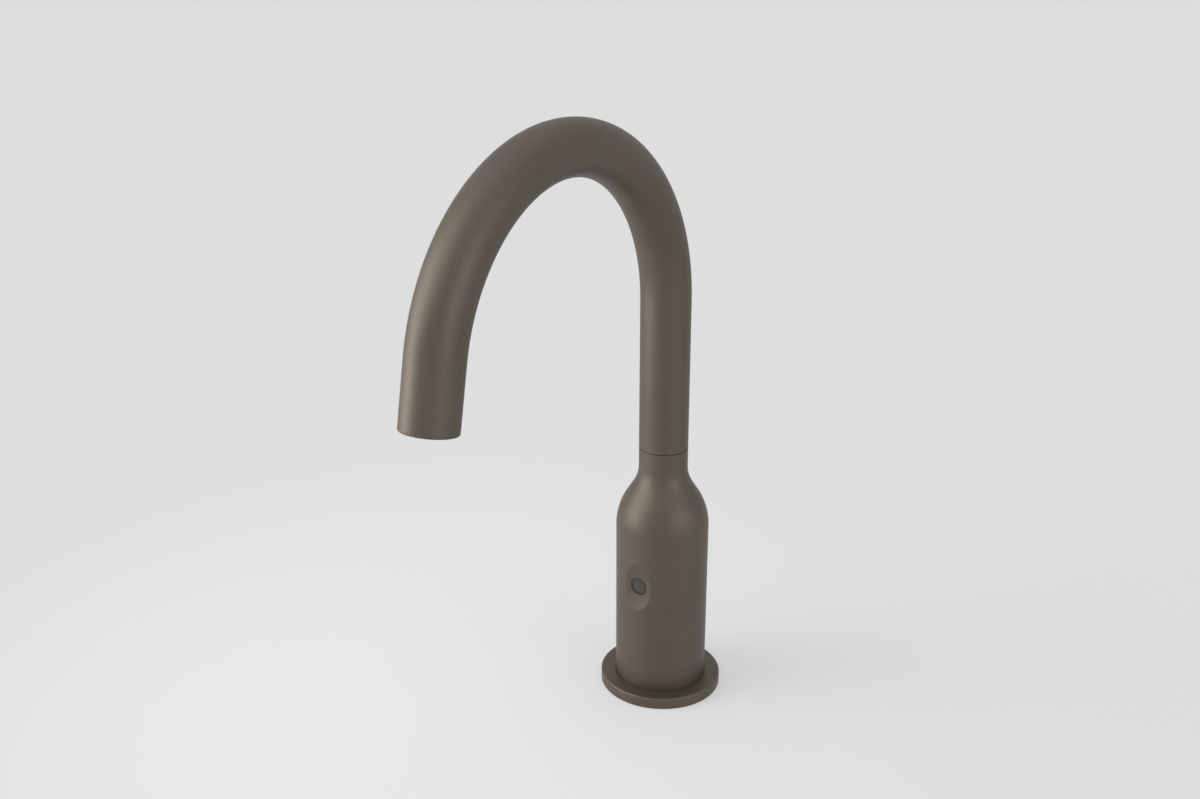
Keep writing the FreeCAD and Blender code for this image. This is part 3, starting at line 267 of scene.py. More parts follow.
def rounded(corners, steps=6):
    """Closed outline from (radius, height, rounding) corners, with arcs and short holding runs."""
    outline = []
    for k, corner in enumerate(corners):
        here = Vector(corner[:2])
        rounding = corner[2]
        before = (Vector(corners[k - 1][:2]) - here).normalized()
        after = (Vector(corners[(k + 1) % len(corners)][:2]) - here).normalized()
        if rounding == 0:
            outline.append(here)
            continue
        half = before.angle(after) / 2
        reach = rounding / math.tan(half)
        centre = here + (before + after).normalized() * (rounding / math.sin(half))
        start = here + before * reach - centre
        end = here + after * reach - centre
        turn = math.pi - 2 * half
        outline.append(here + before * (reach + rounding / 2))
        for step in range(steps + 1):
            share = step / steps
            spot = start * math.sin((1 - share) * turn) + end * math.sin(share * turn)
            outline.append(centre + spot / math.sin(turn))
        outline.append(here + after * (reach + rounding / 2))
    return outline


def circle(radius, height, segments=SEGMENTS):
    """Points round an upright axis, from the front. Radius and height may depend on the angle."""
    points = []
    for i in range(segments):
        angle = 2 * math.pi * i / segments
        reach = radius(angle) if callable(radius) else radius
        rise = height(angle) if callable(height) else height
        points.append((reach * math.sin(angle), -reach * math.cos(angle), rise))
    return points


def rings(outline, segments=SEGMENTS):
    """A circle of points for each (radius, height) of an outline."""
    return [circle(radius, height, segments) for radius, height in outline]


def turned(name, outline, node, place=None, segments=SMALL_SEGMENTS):
    """Solid of revolution from a closed outline of (radius, height) points."""
    bm = bmesh.new()
    skin(bm, rings(outline, segments), closed=True)
    return finished(name, bm, node, place)


def washer(name, node, inner, rounding):
    """Flat ring with rounded edges, in the place of a packed one."""
    outer, low, high = highest(node).x, lowest(node).z, highest(node).z
    outline = rounded([(inner, low, rounding / 2), (outer, low, rounding),
                       (outer, high, rounding), (inner, high, rounding / 2)])
    return turned(name, outline, node, segments=SEGMENTS)


def thread(bm, crest, root, pitch, low, high, segments=SEGMENTS):
    """Screw thread between two heights, which runs out into the root within a pitch of both."""
    rows = []
    for turn in range(math.ceil((high - low) / pitch) + 2):
        for share, depth in THREAD_PROFILE:
            row = []
            for i in range(segments + 1):
                height = low + pitch * (turn - 1 + share + i / segments)
                height = min(max(height, low), high)
                fade = min(1.0, (height - low) / pitch, (high - height) / pitch)
                radius = root + (crest - root) * depth * fade
                angle = 2 * math.pi * i / segments
                row.append((radius * math.sin(angle), -radius * math.cos(angle), height))
            rows.append(row)
    skin(bm, rows, split=True)


# ---- materials ------------------------------------------------------------------------------

NOISE_LOW = 0.3              # a noise's middle range, which its looks are mapped from
NOISE_HIGH = 0.7
METAL_GLOSS = (-0.06, 0.08)  # how far the roughness strays from its middle
MOULDED_GLOSS = (-0.05, 0.06)


def linear(colour):
    """Scene-linear values of a colour given as 0 to 255 screen values, by the sRGB curve."""
    shares = [level / 255 for level in colour]
    return [share / 12.92 if share < 0.04045 else ((share + 0.055) / 1.055) ** 2.4
            for share in shares]


class Shading:
    """A material's node tree with short ways to add the nodes that the finishes use."""

    def __init__(self, name, metallic=0.0, roughness=0.5):
        self.material = bpy.data.materials.new(name)
        self.material.use_nodes = True
        self.tree = self.material.node_tree
        self.shader = self.tree.nodes["Principled BSDF"]
        self.shader.inputs["Metallic"].default_value = metallic
        self.shader.inputs["Roughness"].default_value = roughness
        self.place = self.tree.nodes.new("ShaderNodeTexCoord").outputs["Object"]

    def link(self, source, target):
        self.tree.links.new(source, target)

    def grain(self, size_mm, detail=3.0, stretch=(1, 1, 1)):
        """Noise from 0 to 1 whose features are about the given size."""
        mapping = self.tree.nodes.new("ShaderNodeMapping")
        mapping.inputs["Scale"].default_value = Vector(stretch) / (size_mm * MM)
        self.link(self.place, mapping.inputs["Vector"])
        noise = self.tree.nodes.new("ShaderNodeTexNoise")
        noise.inputs["Scale"].default_value = 1.0
        noise.inputs["Detail"].default_value = detail
        self.link(mapping.outputs["Vector"], noise.inputs["Vector"])
        return noise.outputs["Fac"]

    def spread(self, source, low, high):
        """Map a noise's middle range to two numbers."""
        remap = self.tree.nodes.new("ShaderNodeMapRange")
        remap.inputs["From Min"].default_value = NOISE_LOW
        remap.inputs["From Max"].default_value = NOISE_HIGH
        remap.inputs["To Min"].default_value = low
        remap.inputs["To Max"].default_value = high
        self.link(source, remap.inputs["Value"])
        return remap.outputs["Result"]

    def colours(self, source, first, second):
        """Blend two colours by a noise."""
        ramp = self.tree.nodes.new("ShaderNodeValToRGB")
        ramp.color_ramp.elements[0].position = NOISE_LOW
        ramp.color_ramp.elements[0].color = (*linear(first), 1)
        ramp.color_ramp.elements[1].position = NOISE_HIGH
        ramp.color_ramp.elements[1].color = (*linear(second), 1)
        self.link(source, ramp.inputs["Fac"])
        return ramp.outputs["Color"]

    def mix(self, factor, first, second):
        """Blend of two colour sockets."""
        node = self.tree.nodes.new("ShaderNodeMix")
        node.data_type = "RGBA"
        node.inputs["Factor"].default_value = factor
        self.link(first, node.inputs["A"])
        self.link(second, node.inputs["B"])
        return node.outputs["Result"]

    def bump(self, source, height_mm, strength=1.0):
        """Relief of the given height."""
        node = self.tree.nodes.new("ShaderNodeBump")
        node.inputs["Distance"].default_value = height_mm * MM
        node.inputs["Strength"].default_value = strength
        self.link(source, node.inputs["Height"])
        self.link(node.outputs["Normal"], self.shader.inputs["Normal"])

    def even_out(self, colour, near, far):
        """Show the camera, mirrors and glass a share of one plain level.

        The share grows between two distances from the origin, given as (distance, share)."""
        path = self.tree.nodes.new("ShaderNodeLightPath")
        factor = path.outputs["Is Camera Ray"]
        for ray in ("Is Glossy Ray", "Is Transmission Ray"):
            either = self.tree.nodes.new("ShaderNodeMath")
            either.operation = "MAXIMUM"
            self.link(factor, either.inputs[0])
            self.link(path.outputs[ray], either.inputs[1])
            factor = either.outputs["Value"]
        away = self.tree.nodes.new("ShaderNodeVectorMath")
        away.operation = "LENGTH"
        self.link(self.place, away.inputs[0])
        share = self.tree.nodes.new("ShaderNodeMapRange")
        share.interpolation_type = "SMOOTHSTEP"
        for name, value in zip(("From Min", "To Min", "From Max", "To Max"), near + far):
            share.inputs[name].default_value = value
        self.link(away.outputs["Value"], share.inputs["Value"])
        scaled = self.tree.nodes.new("ShaderNodeMath")
        scaled.operation = "MULTIPLY"
        self.link(factor, scaled.inputs[0])
        self.link(share.outputs["Result"], scaled.inputs[1])
        glow = self.tree.nodes.new("ShaderNodeEmission")
        glow.inputs["Color"].default_value = (*linear(colour), 1)
        blend = self.tree.nodes.new("ShaderNodeMixShader")
        self.link(scaled.outputs["Value"], blend.inputs[0])
        self.link(self.shader.outputs["BSDF"], blend.inputs[1])
        self.link(glow.outputs["Emission"], blend.inputs[2])
        self.link(blend.outputs["Shader"], self.tree.nodes["Material Output"].inputs["Surface"])

    def colour(self, source):
        self.link(source, self.shader.inputs["Base Color"])

    def rough(self, source):
        self.link(source, self.shader.inputs["Roughness"])


def bronze():
    """Satin coating: a fine even grain with slow, faint changes of tone and gloss."""
    look = Shading("satin_bronze", metallic=0.75)
    fine = look.colours(look.grain(0.4, detail=2.0), (84, 75, 67), (100, 92, 83))
    broad = look.colours(look.grain(38.0, detail=2.0), (88, 80, 71), (96, 87, 79))
    look.colour(look.mix(0.5, fine, broad))
    look.rough(look.spread(look.grain(0.5, detail=4.0), 0.46, 0.54))
    look.bump(look.grain(0.16, detail=2.0), height_mm=0.004, strength=0.5)
    return look.material


def metal(name, first, second, roughness, size_mm=0.6):
    """Turned or drawn metal with faint machining streaks."""
    look = Shading(name, metallic=1.0)
    streaks = look.grain(size_mm, stretch=(0.15, 0.15, 1.6))
    look.colour(look.colours(streaks, first, second))
    smoother, rougher = METAL_GLOSS
    look.rough(look.spread(look.grain(size_mm * 3), roughness + smoother, roughness + rougher))
    look.bump(streaks, height_mm=0.006, strength=0.4)
    return look.material


def moulding(name, first, second, roughness, size_mm=0.35, height_mm=0.006):
    """Moulded plastic or rubber with a fine eroded texture."""
    look = Shading(name)
    fine = look.grain(size_mm)
    look.colour(look.colours(look.grain(9.0), first, second))
    smoother, rougher = MOULDED_GLOSS
    look.rough(look.spread(fine, roughness + smoother, roughness + rougher))
    look.bump(fine, height_mm, strength=0.5)
    return look.material


def lens():
    """Polished dark plastic that lets only infrared through."""
    look = Shading("dark_lens")
    look.colour(look.colours(look.grain(3.0), (44, 41, 43), (52, 48, 50)))
    look.rough(look.spread(look.grain(1.5), 0.12, 0.2))
    look.shader.inputs["Coat Weight"].default_value = 0.3
    return look.material


def board():
    """Green circuit board with a faint weave and darker tracks."""
    look = Shading("circuit_board")
    weave = look.grain(0.4, stretch=(1, 0.2, 1))
    tracks = look.grain(2.2, detail=0.0, stretch=(0.4, 1, 1))
    cloth = look.colours(weave, (18, 92, 52), (26, 110, 64))
    copper = look.colours(tracks, (14, 76, 44), (34, 124, 74))
    look.colour(look.mix(0.5, cloth, copper))
    look.rough(look.spread(weave, 0.34, 0.46))
    look.bump(tracks, height_mm=0.02, strength=0.4)
    return look.material


FINISHES = {
    "bronze": bronze(),
    "brass": metal("turned_brass", (196, 166, 104), (210, 182, 122), 0.28),
    "steel": metal("stainless_steel", (176, 177, 180), (194, 195, 197), 0.30),
    "copper": metal("drawn_copper", (196, 122, 84), (212, 142, 104), 0.32, size_mm=1.2),
    "rubber": moulding("sealing_rubber", (38, 38, 39), (46, 46, 47), 0.62, size_mm=0.5,
                       height_mm=0.012),
    "black_plastic": moulding("black_moulding", (24, 24, 26), (31, 31, 33), 0.42),
    "white_plastic": moulding("white_moulding", (206, 206, 200), (216, 216, 211), 0.45),
    "grey_plastic": moulding("grey_moulding", (138, 140, 143), (148, 150, 152), 0.45),
    "lens": lens(),
    "board": board(),
    "cable": moulding("cable_jacket", (30, 30, 31), (38, 38, 39), 0.5, size_mm=0.8,
                      height_mm=0.01),
}


def dress_nodes():
    """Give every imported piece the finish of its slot."""
    for node, slot in SLOTS.items():
        materials = frame["nodes"][node].data.materials
        materials.clear()
        materials.append(FINISHES[slot])


# ---- spout ----------------------------------------------------------------------------------

SPOUT_RISE = BEND_Z - TUBE_LOW_Z
SPOUT_ARC = BEND_R * math.radians(BEND_ANGLE)
SPOUT_LENGTH = SPOUT_RISE + SPOUT_ARC + TAIL
SPOUT_END_RUN = 3.0          # stretch at both ends that holds the rounded edges


def spout_station(travel):
    """Centre and inward normal of the gooseneck's section, that far along its centre line."""
    if travel <= SPOUT_RISE:
        return Vector((0, 0, TUBE_LOW_Z + travel)), Vector((0, -1, 0))
    sweep = math.radians(BEND_ANGLE)
    angle = min((travel - SPOUT_RISE) / BEND_R, sweep)
    inward = Vector((0, -math.cos(angle), -math.sin(angle)))
    onward = Vector((0, -math.sin(angle), math.cos(angle)))
    hub = Vector((0, -BEND_R, BEND_Z))
    past = max(0.0, travel - SPOUT_RISE - SPOUT_ARC)
    return hub - inward * BEND_R + onward * past, inward


def spout_ring(radius, travel):
    """Points round the gooseneck's section."""
    centre, inward = spout_station(travel)
    ring = []
    for i in range(TUBE_SEGMENTS):
        angle = 2 * math.pi * i / TUBE_SEGMENTS
        across = Vector((radius * math.sin(angle), 0, 0))
        ring.append(centre + inward * radius * math.cos(angle) + across)
    return ring


def spout():
    """Gooseneck tube, open right through, with a rounded rim at the mouth."""
    bore = TUBE_R - TUBE_WALL
    far = SPOUT_LENGTH - SPOUT_END_RUN
    runs = [(SPOUT_END_RUN, SPOUT_RISE, STEM_STEPS),
            (SPOUT_RISE, SPOUT_RISE + SPOUT_ARC, BEND_STEPS),
            (SPOUT_RISE + SPOUT_ARC, far, TAIL_STEPS)]
    along = [low + (high - low) * k / count for low, high, count in runs for k in range(count)]
    seam = rounded([(bore, SPOUT_END_RUN, 0), (bore, 0, BURR_ROUND), (TUBE_R, 0, SEAM_ROUND),
                    (TUBE_R, SPOUT_END_RUN, 0)])
    mouth = rounded([(TUBE_R, far, 0), (TUBE_R, SPOUT_LENGTH, MOUTH_ROUND),
                     (bore, SPOUT_LENGTH, BURR_ROUND), (bore, far, 0)])
    outside = [(TUBE_R, travel) for travel in along[1:]]
    inside = [(bore, travel) for travel in reversed(along[1:])]
    sections = seam + outside + mouth + inside
    bm = bmesh.new()
    skin(bm, [spout_ring(radius, travel) for radius, travel in sections], closed=True)
    return finished("spout", bm, "spout_tube")


# ---- body -----------------------------------------------------------------------------------


class Hole:
    """A round hole through a round upright wall, and the patch of the wall's grid that it takes."""

    def __init__(self, radius, height, half_height, rows, columns, front=True):
        self.radius = radius
        self.height = height
        self.low = height - half_height
        self.high = height + half_height
        self.rows = rows
        self.columns = columns
        self.start = 0.0 if front else math.pi

    def spot(self, wall, column, row):
        """Point of the wall's grid, by columns from the hole and rows from the patch's foot."""
        angle = self.start + 2 * math.pi * column / SEGMENTS
        height = self.low + (self.high - self.low) * row / self.rows
        return Vector((wall * math.sin(angle), -wall * math.cos(angle), height))

    def border(self, wall):
        """Points once round the patch."""
        side, top = self.columns, self.rows
        spots = [(column, 0) for column in range(-side, side)]
        spots += [(side, row) for row in range(top)]
        spots += [(column, top) for column in range(side, -side, -1)]
        spots += [(-side, row) for row in range(top, 0, -1)]
        return [self.spot(wall, column, row) for column, row in spots]

    def flat(self, point):
        """A point as seen along the hole."""
        return Vector((point.x, point.z - self.height))


EYE_HOLE = Hole(EYE_HOLE_R, SENSOR_Z, half_height=17.0, rows=34, columns=16)
GRUB_HOLE = Hole(GRUB_HOLE_R, GRUB_Z, half_height=3.6, rows=18, columns=10, front=False)
EVEN_STOPS = [k / SPOKE_STEPS for k in range(SPOKE_STEPS)]


def pierced(bm, wall, hole, surface, rim=None, stops=None):
    """Height band of a round wall with a hole: a grid, and a fan of spokes from the hole's rim.

    The rim's directions come from the border unless they are given. Returns the rim."""
    columns = range(hole.columns, SEGMENTS - hole.columns + 1)
    rows = range(hole.rows + 1)
    skin(bm, [[hole.spot(wall, column, row) for column in columns] for row in rows], split=True)
    border = hole.border(wall)
    if rim is None:
        rim = [hole.flat(far).normalized() * hole.radius for far in border]
    spokes = []
    for near, far in zip(rim, border):
        reach = hole.flat(far) - near
        spoke = []
        for share in stops(near, far) if stops else EVEN_STOPS:
            spot = near + reach * share
            height = spot.y + hole.height
            spoke.append(Vector((spot.x, surface(spot.x, height), height)))
        spokes.append(spoke + [far])
    return skin(bm, list(zip(*spokes)))[0], rim


def bridge(bm, outer, inner):
    """Wall of a hole between its two rims."""
    for i in range(len(outer)):
        j = (i + 1) % len(outer)
        bm.faces.new((outer[i], outer[j], inner[j], inner[i]))


def stops_round(edge, spread, hole, far):
    """Shares of a spoke's way, closest together round an edge that is given by its distance."""
    start = hole.radius
    reach = hole.flat(far).length
    fine = [edge - spread + 2 * spread * k / EDGE_STEPS for k in range(EDGE_STEPS + 1)]
    coarse = [start + (fine[0] - start) * k / SPOKE_STEPS for k in range(SPOKE_STEPS)]
    rest = [fine[-1] + (reach - fine[-1]) * k / SPOKE_STEPS for k in range(1, SPOKE_STEPS)]
    return [(stop - start) / (reach - start) for stop in coarse + fine + rest]


def scoop_levels(x, rise):
    """Front faces of the straight wall and of the ball that hollows it."""
    wall = -math.sqrt(BODY_R ** 2 - x * x)
    room = max(0.0, SCOOP_R ** 2 - x * x - rise * rise)
    return wall, SCOOP_DEPTH - BODY_R - SCOOP_R + math.sqrt(room)


def scoop_y(x, z):
    """Front surface of the body: the wall, hollowed by the ball, with a soft edge."""
    wall, ball = scoop_levels(x, z - SENSOR_Z)
    blend = max(0.0, SCOOP_SOFT - abs(wall - ball)) / SCOOP_SOFT
    return max(wall, ball) + blend * blend * SCOOP_SOFT / 4


def scoop_stops(near, far):
    """Stops of the outer spokes, gathered at the scoop's edge."""
    direction = near.normalized()
    low, high = EYE_HOLE_R, math.sqrt(2 * SCOOP_R * SCOOP_DEPTH)
    for _ in range(HALVINGS):
        middle = (low + high) / 2
        wall, ball = scoop_levels(direction.x * middle, direction.y * middle)
        low, high = (middle, high) if ball > wall else (low, middle)
    return stops_round(low, SCOOP_SPREAD, EYE_HOLE, far)


def boss_y(x, z):
    """Inside surface behind the sensor: the bore, with the flat that the sensor is screwed to."""
    wall = -math.sqrt(BODY_BORE_R ** 2 - x * x)
    return max(wall, SENSOR_BOSS_Y) if math.hypot(x, z - SENSOR_Z) < SENSOR_BOSS_R else wall


def boss_stops(near, far):
    """Stops of the inner spokes, gathered at the boss's edge."""
    return stops_round(SENSOR_BOSS_R, SENSOR_BOSS_SPREAD, EYE_HOLE, far)


def neck_y(x, z):
    """Back surface of the neck."""
    return math.sqrt(TUBE_R ** 2 - x * x)


def socket_y(x, z):
    """Back surface of the swivel socket."""
    return math.sqrt(SOCKET_R ** 2 - x * x)


def shoulder_outline():
    """(radius, height) points of the body's outside from its straight wall to its neck."""
    slope = math.radians(SHOULDER_SLOPE)
    lean = 1 - math.cos(slope)
    gap = (NECK_Z - SHOULDER_Z - SHOULDER_R * math.sin(slope)) * math.tan(slope)
    neck_round = BODY_R - TUBE_R - SHOULDER_R * lean - gap
    neck_round = neck_round / (lean - math.sin(slope) * math.tan(slope))
    angles = [slope * k / SHOULDER_STEPS for k in range(SHOULDER_STEPS + 1)]
    convex = [(BODY_R - SHOULDER_R * (1 - math.cos(angle)),
               SHOULDER_Z + SHOULDER_R * math.sin(angle)) for angle in angles]
    hollow = [(TUBE_R + neck_round * (1 - math.cos(angle)),
               NECK_Z - neck_round * math.sin(angle)) for angle in reversed(angles)]
    return convex + hollow


def body():
    """Bottle-shaped shell with the sensor's scoop, its eye hole and the swivel's socket."""
    eye = EYE_HOLE
    grub = GRUB_HOLE
    head = HEAD_R + HEAD_EASE
    below = eye.low - BODY_FOOT_Z
    above = SHOULDER_Z - eye.high
    foot = rounded([(BODY_R - FOOT_LIP, BODY_FOOT_Z, 0), (BODY_R, BODY_FOOT_Z, FOOT_ROUND),
                    (BODY_R, eye.low, 0)])
    lower = foot[:-1] + [(BODY_R, BODY_FOOT_Z + below * k / WALL_LOW_STEPS)
                         for k in range(1, WALL_LOW_STEPS + 1)]
    middle = [(BODY_R, eye.high + above * k / WALL_HIGH_STEPS) for k in range(WALL_HIGH_STEPS)]
    middle += shoulder_outline() + [(TUBE_R, grub.low)]
    top = rounded([(TUBE_R, grub.high, 0), (TUBE_R, NECK_TOP_Z, SEAM_ROUND),
                   (SOCKET_R, NECK_TOP_Z, BURR_ROUND), (SOCKET_R, grub.high, 0)])
    inside = [(SOCKET_R, grub.low), (SOCKET_R, SOCKET_FLOOR_Z), (RISER_HOLE_R, SOCKET_FLOOR_Z),
              (RISER_HOLE_R, RISER_SEAL_TOP_Z), (RISER_SEAL_R, RISER_SEAL_TOP_Z),
              (RISER_SEAL_R, BOSS_LOW_Z), (BOSS_R, BOSS_LOW_Z), (BOSS_R, CONE_TOP_Z),
              (BODY_BORE_R, CONE_LOW_Z), (BODY_BORE_R, eye.high)]
    base = [(BODY_BORE_R, eye.low), (BODY_BORE_R, HEAD_TOP_Z), (head, HEAD_TOP_Z),
            (head, BODY_FOOT_Z), (BODY_R - FOOT_LIP, BODY_FOOT_Z)]
    bm = bmesh.new()
    for outline in (lower, middle, top, inside, base):
        skin(bm, rings(outline))
    outer, rim = pierced(bm, BODY_R, eye, scoop_y, stops=scoop_stops)
    inner, _ = pierced(bm, BODY_BORE_R, eye, boss_y, rim, boss_stops)
    bridge(bm, outer, inner)
    outer, rim = pierced(bm, TUBE_R, grub, neck_y)
    inner, _ = pierced(bm, SOCKET_R, grub, socket_y, rim)
    bridge(bm, outer, inner)
    return finished("body", bm, "body_shell")


# ---- flange and eye -------------------------------------------------------------------------


def flange():
    """Round plate with a rounded rim, a shallow seat for the body and the seal's groove below."""
    groove_z = highest("base_seal").z
    outline = rounded([(FLANGE_BORE_R, BODY_FOOT_Z, 0), (FLANGE_BORE_R, FLANGE_HOLE_TOP_Z, 0),
                       (FLANGE_HOLE_R, FLANGE_HOLE_TOP_Z, 0), (FLANGE_HOLE_R, HOLE_CHAMFER, 0),
                       (FLANGE_HOLE_R + HOLE_CHAMFER, 0, 0), (GROOVE_IN_R, 0, 0),
                       (GROOVE_IN_R, groove_z, 0), (GROOVE_OUT_R, groove_z, 0),
                       (GROOVE_OUT_R, 0, 0), (FLANGE_R, 0, FLANGE_FOOT_ROUND),
                       (FLANGE_R, FLANGE_T, FLANGE_EDGE),
                       (FLANGE_SEAT_R, FLANGE_T, FLANGE_SEAT_ROUND),
                       (FLANGE_SEAT_R, BODY_FOOT_Z, 0)])
    return turned("flange", outline, "base_flange", segments=SEGMENTS)


def eye_place():
    """Matrix, in millimetres, that stands a turned piece in the sensor's place, facing forward."""
    return Matrix.Translation((0, EYE_FACE_Y, SENSOR_Z)) @ Matrix.Rotation(math.radians(90), 4, "X")


def eye_rim():
    """Black rim round the window."""
    outline = rounded([(GLASS_R, -GLASS_T, 0), (EYE_R, -GLASS_T, 0), (EYE_R, 0, EYE_ROUND),
                       (GLASS_R, 0, GLASS_ROUND)])
    return turned("eye_rim", outline, "sensor_bezel", eye_place())


def eye_window():
    """Slightly domed dark window."""
    ball = (GLASS_R ** 2 + GLASS_RISE ** 2) / (2 * GLASS_RISE)
    radii = [GLASS_R * k / GLASS_STEPS for k in range(GLASS_STEPS, 0, -1)]
    dome = [(radius, math.sqrt(ball ** 2 - radius ** 2) - ball) for radius in radii]
    outline = [(AXIS_R, -GLASS_T), (GLASS_R, -GLASS_T)] + dome + [(AXIS_R, 0.0)]
    return turned("eye_window", outline, "sensor_window", eye_place())


# ---- mounting below the deck ------------------------------------------------------------------


def shank_bore(angle):
    """Radius of the head's opening, with the slot that lets the lead past."""
    forward = math.cos(angle)
    sideways = abs(math.sin(angle))
    if forward <= 0:
        return SHANK_BORE_R
    reach = NOTCH_REACH / forward
    if sideways > 0:
        reach = min(reach, NOTCH_HALF / sideways)
    return max(SHANK_BORE_R, reach)


def plate_with_holes(bm, outer, inner, holes, height):
    """Flat face between two rings, with round holes. Returns the points of each hole."""
    loops = [outer, inner]
    for x, y in holes:
        spots = circle(BASE_SCREW_HOLE_R, height, HOLE_SEGMENTS)
        loops.append([bm.verts.new((x + spot[0], y + spot[1], height)) for spot in spots])
    edges = []
    for loop in loops:
        for i in range(len(loop)):
            edge = bm.edges.get((loop[i - 1], loop[i]))
            edges.append(edge or bm.edges.new((loop[i - 1], loop[i])))
    bmesh.ops.triangle_fill(bm, edges=edges, use_beauty=True, normal=(0, 0, 1))
    return loops[2:]


def shank():
    """Hollow threaded shank whose head has a slot for the lead and four blind screw holes."""
    foot = SHANK_FOOT_Z + THREAD_LEAD
    edge = HEAD_TOP_Z - HEAD_ROUND
    outside = [(SHANK_ROOT_R - THREAD_LEAD, SHANK_FOOT_Z), (SHANK_ROOT_R, foot)]
    neck = [(SHANK_ROOT_R, SHANK_THREAD_TOP_Z), (SHANK_R, SHANK_THREAD_TOP_Z + SHANK_RUNOUT),
            (SHANK_R, HEAD_LOW_Z), (HEAD_R - HEAD_ROUND, HEAD_LOW_Z),
            (HEAD_R, HEAD_LOW_Z + HEAD_ROUND), (HEAD_R, edge), (HEAD_R - HEAD_ROUND, HEAD_TOP_Z)]
    bore = [(shank_bore, HEAD_TOP_Z), (shank_bore, SHANK_NOTCH_LOW_Z),
            (SHANK_BORE_R, SHANK_NOTCH_LOW_Z), (SHANK_BORE_R, foot),
            (SHANK_BORE_R + THREAD_LEAD, SHANK_FOOT_Z), outside[0]]
    bm = bmesh.new()
    skin(bm, rings(outside))
    thread(bm, SHANK_R, SHANK_ROOT_R, SHANK_PITCH, foot, SHANK_THREAD_TOP_Z)
    rim = skin(bm, rings(neck))[-1]
    slot = skin(bm, rings(bore))[0]
    for hole in plate_with_holes(bm, rim, slot, BASE_SCREWS, HEAD_TOP_Z):
        bottom = [bm.verts.new((spot.co.x, spot.co.y, BASE_SCREW_HOLE_LOW_Z)) for spot in hole]
        bridge(bm, hole, bottom)
        bm.faces.new(bottom)
    return finished("shank", bm, "mounting_shank", sharp=30.0)


def nut_side(angle):
    """Radius of the nut's side, with its flats front and back and its corners a little blunt."""
    off = angle - NUT_SIDE_TURN * round(angle / NUT_SIDE_TURN)
    return min(NUT_FLAT / math.cos(off), NUT_CORNER - NUT_CORNER_CUT)


def back_nut():
    """Hexagon nut with an inner thread and chamfered faces."""
    low = lowest("back_nut").z
    high = highest("back_nut").z
    lead = NUT_MOUTH_R - NUT_ROOT_R

    def under(angle):
        return low + (nut_side(angle) - NUT_FACE_R) * NUT_CHAMFER_SLOPE

    def over(angle):
        return high - (nut_side(angle) - NUT_FACE_R) * NUT_CHAMFER_SLOPE

    outline = [(NUT_ROOT_R, low + lead), (NUT_MOUTH_R, low), (NUT_FACE_R, low), (nut_side, under),
               (nut_side, over), (NUT_FACE_R, high), (NUT_MOUTH_R, high), (NUT_ROOT_R, high - lead)]
    bm = bmesh.new()
    skin(bm, rings(outline))
    thread(bm, NUT_BORE_R, NUT_ROOT_R, SHANK_PITCH, low + lead, high - lead)
    return finished("nut", bm, "back_nut", sharp=25.0)


def inlet():
    """Inlet nipple: a pipe thread below a collar with two spanner flats."""
    def collar(angle):
        sideways = abs(math.sin(angle))
        return min(COLLAR_R, COLLAR_FLAT / sideways) if sideways > 0 else COLLAR_R

    def collar_edge(angle):
        return collar(angle) - THREAD_LEAD

    foot = INLET_FOOT_Z + THREAD_LEAD
    low = [(INLET_BORE_R, INLET_FOOT_Z), (INLET_ROOT_R - THREAD_LEAD, INLET_FOOT_Z),
           (INLET_ROOT_R, foot)]
    high = [(INLET_ROOT_R, INLET_THREAD_TOP_Z), (COLLAR_R, INLET_THREAD_TOP_Z),
            (COLLAR_R, COLLAR_FLAT_LOW_Z), (collar, COLLAR_FLAT_LOW_Z),
            (collar, COLLAR_TOP_Z - THREAD_LEAD), (collar_edge, COLLAR_TOP_Z),
            (PIPE_SOCKET_R, COLLAR_TOP_Z), (PIPE_SOCKET_R, PIPE_SOCKET_FLOOR_Z),
            (INLET_BORE_R, PIPE_SOCKET_FLOOR_Z), (INLET_BORE_R, INLET_FOOT_Z)]
    bm = bmesh.new()
    skin(bm, rings(low, SMALL_SEGMENTS))
    thread(bm, INLET_R, INLET_ROOT_R, INLET_PITCH, foot, INLET_THREAD_TOP_Z, SMALL_SEGMENTS)
    skin(bm, rings(high, SMALL_SEGMENTS))
    return finished("inlet", bm, "inlet_nipple", Matrix.Translation((0, INLET_Y, 0)), sharp=30.0)


# ---- springs ----------------------------------------------------------------------------------


def coil_spring(name, node, y, turns):
    """Round wire wound between the two ends of a packed spring, with closed end turns."""
    low = lowest(node).z + WIRE_R
    high = highest(node).z - WIRE_R
    winding = highest(node).x - WIRE_R
    steps = int(COIL_STEPS * turns)
    bm = bmesh.new()
    rows = []
    for step in range(steps + 1):
        turn = turns * step / steps
        share = (turn - math.sin(2 * math.pi * turn / turns) * turns / (4 * math.pi)) / turns
        angle = 2 * math.pi * turn
        outward = Vector((math.cos(angle), math.sin(angle), 0))
        centre = Vector((0, y, low + (high - low) * share)) + outward * winding
        spots = []
        for k in range(WIRE_SIDES):
            around = 2 * math.pi * k / WIRE_SIDES
            upward = Vector((0, 0, math.sin(around)))
            spots.append(centre + (outward * math.cos(around) + upward) * WIRE_R)
        rows.append(spots)
    made = skin(bm, rows)
    bm.faces.new(made[0])
    bm.faces.new(made[-1])
    return finished(name, bm, node)


def shorten(spring):
    """Give a spring a mesh of its own."""
    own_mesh(spring)


def springs():
    """The two coil springs, each with a mesh of its own."""
    plunger = coil_spring("plunger_coil", "plunger_spring", 0.0, PLUNGER_TURNS)
    shorten(plunger)
    check = coil_spring("check_coil", "check_spring", INLET_Y, CHECK_TURNS)
    shorten(check)


# ---- stage, light and camera ----------------------------------------------------------------

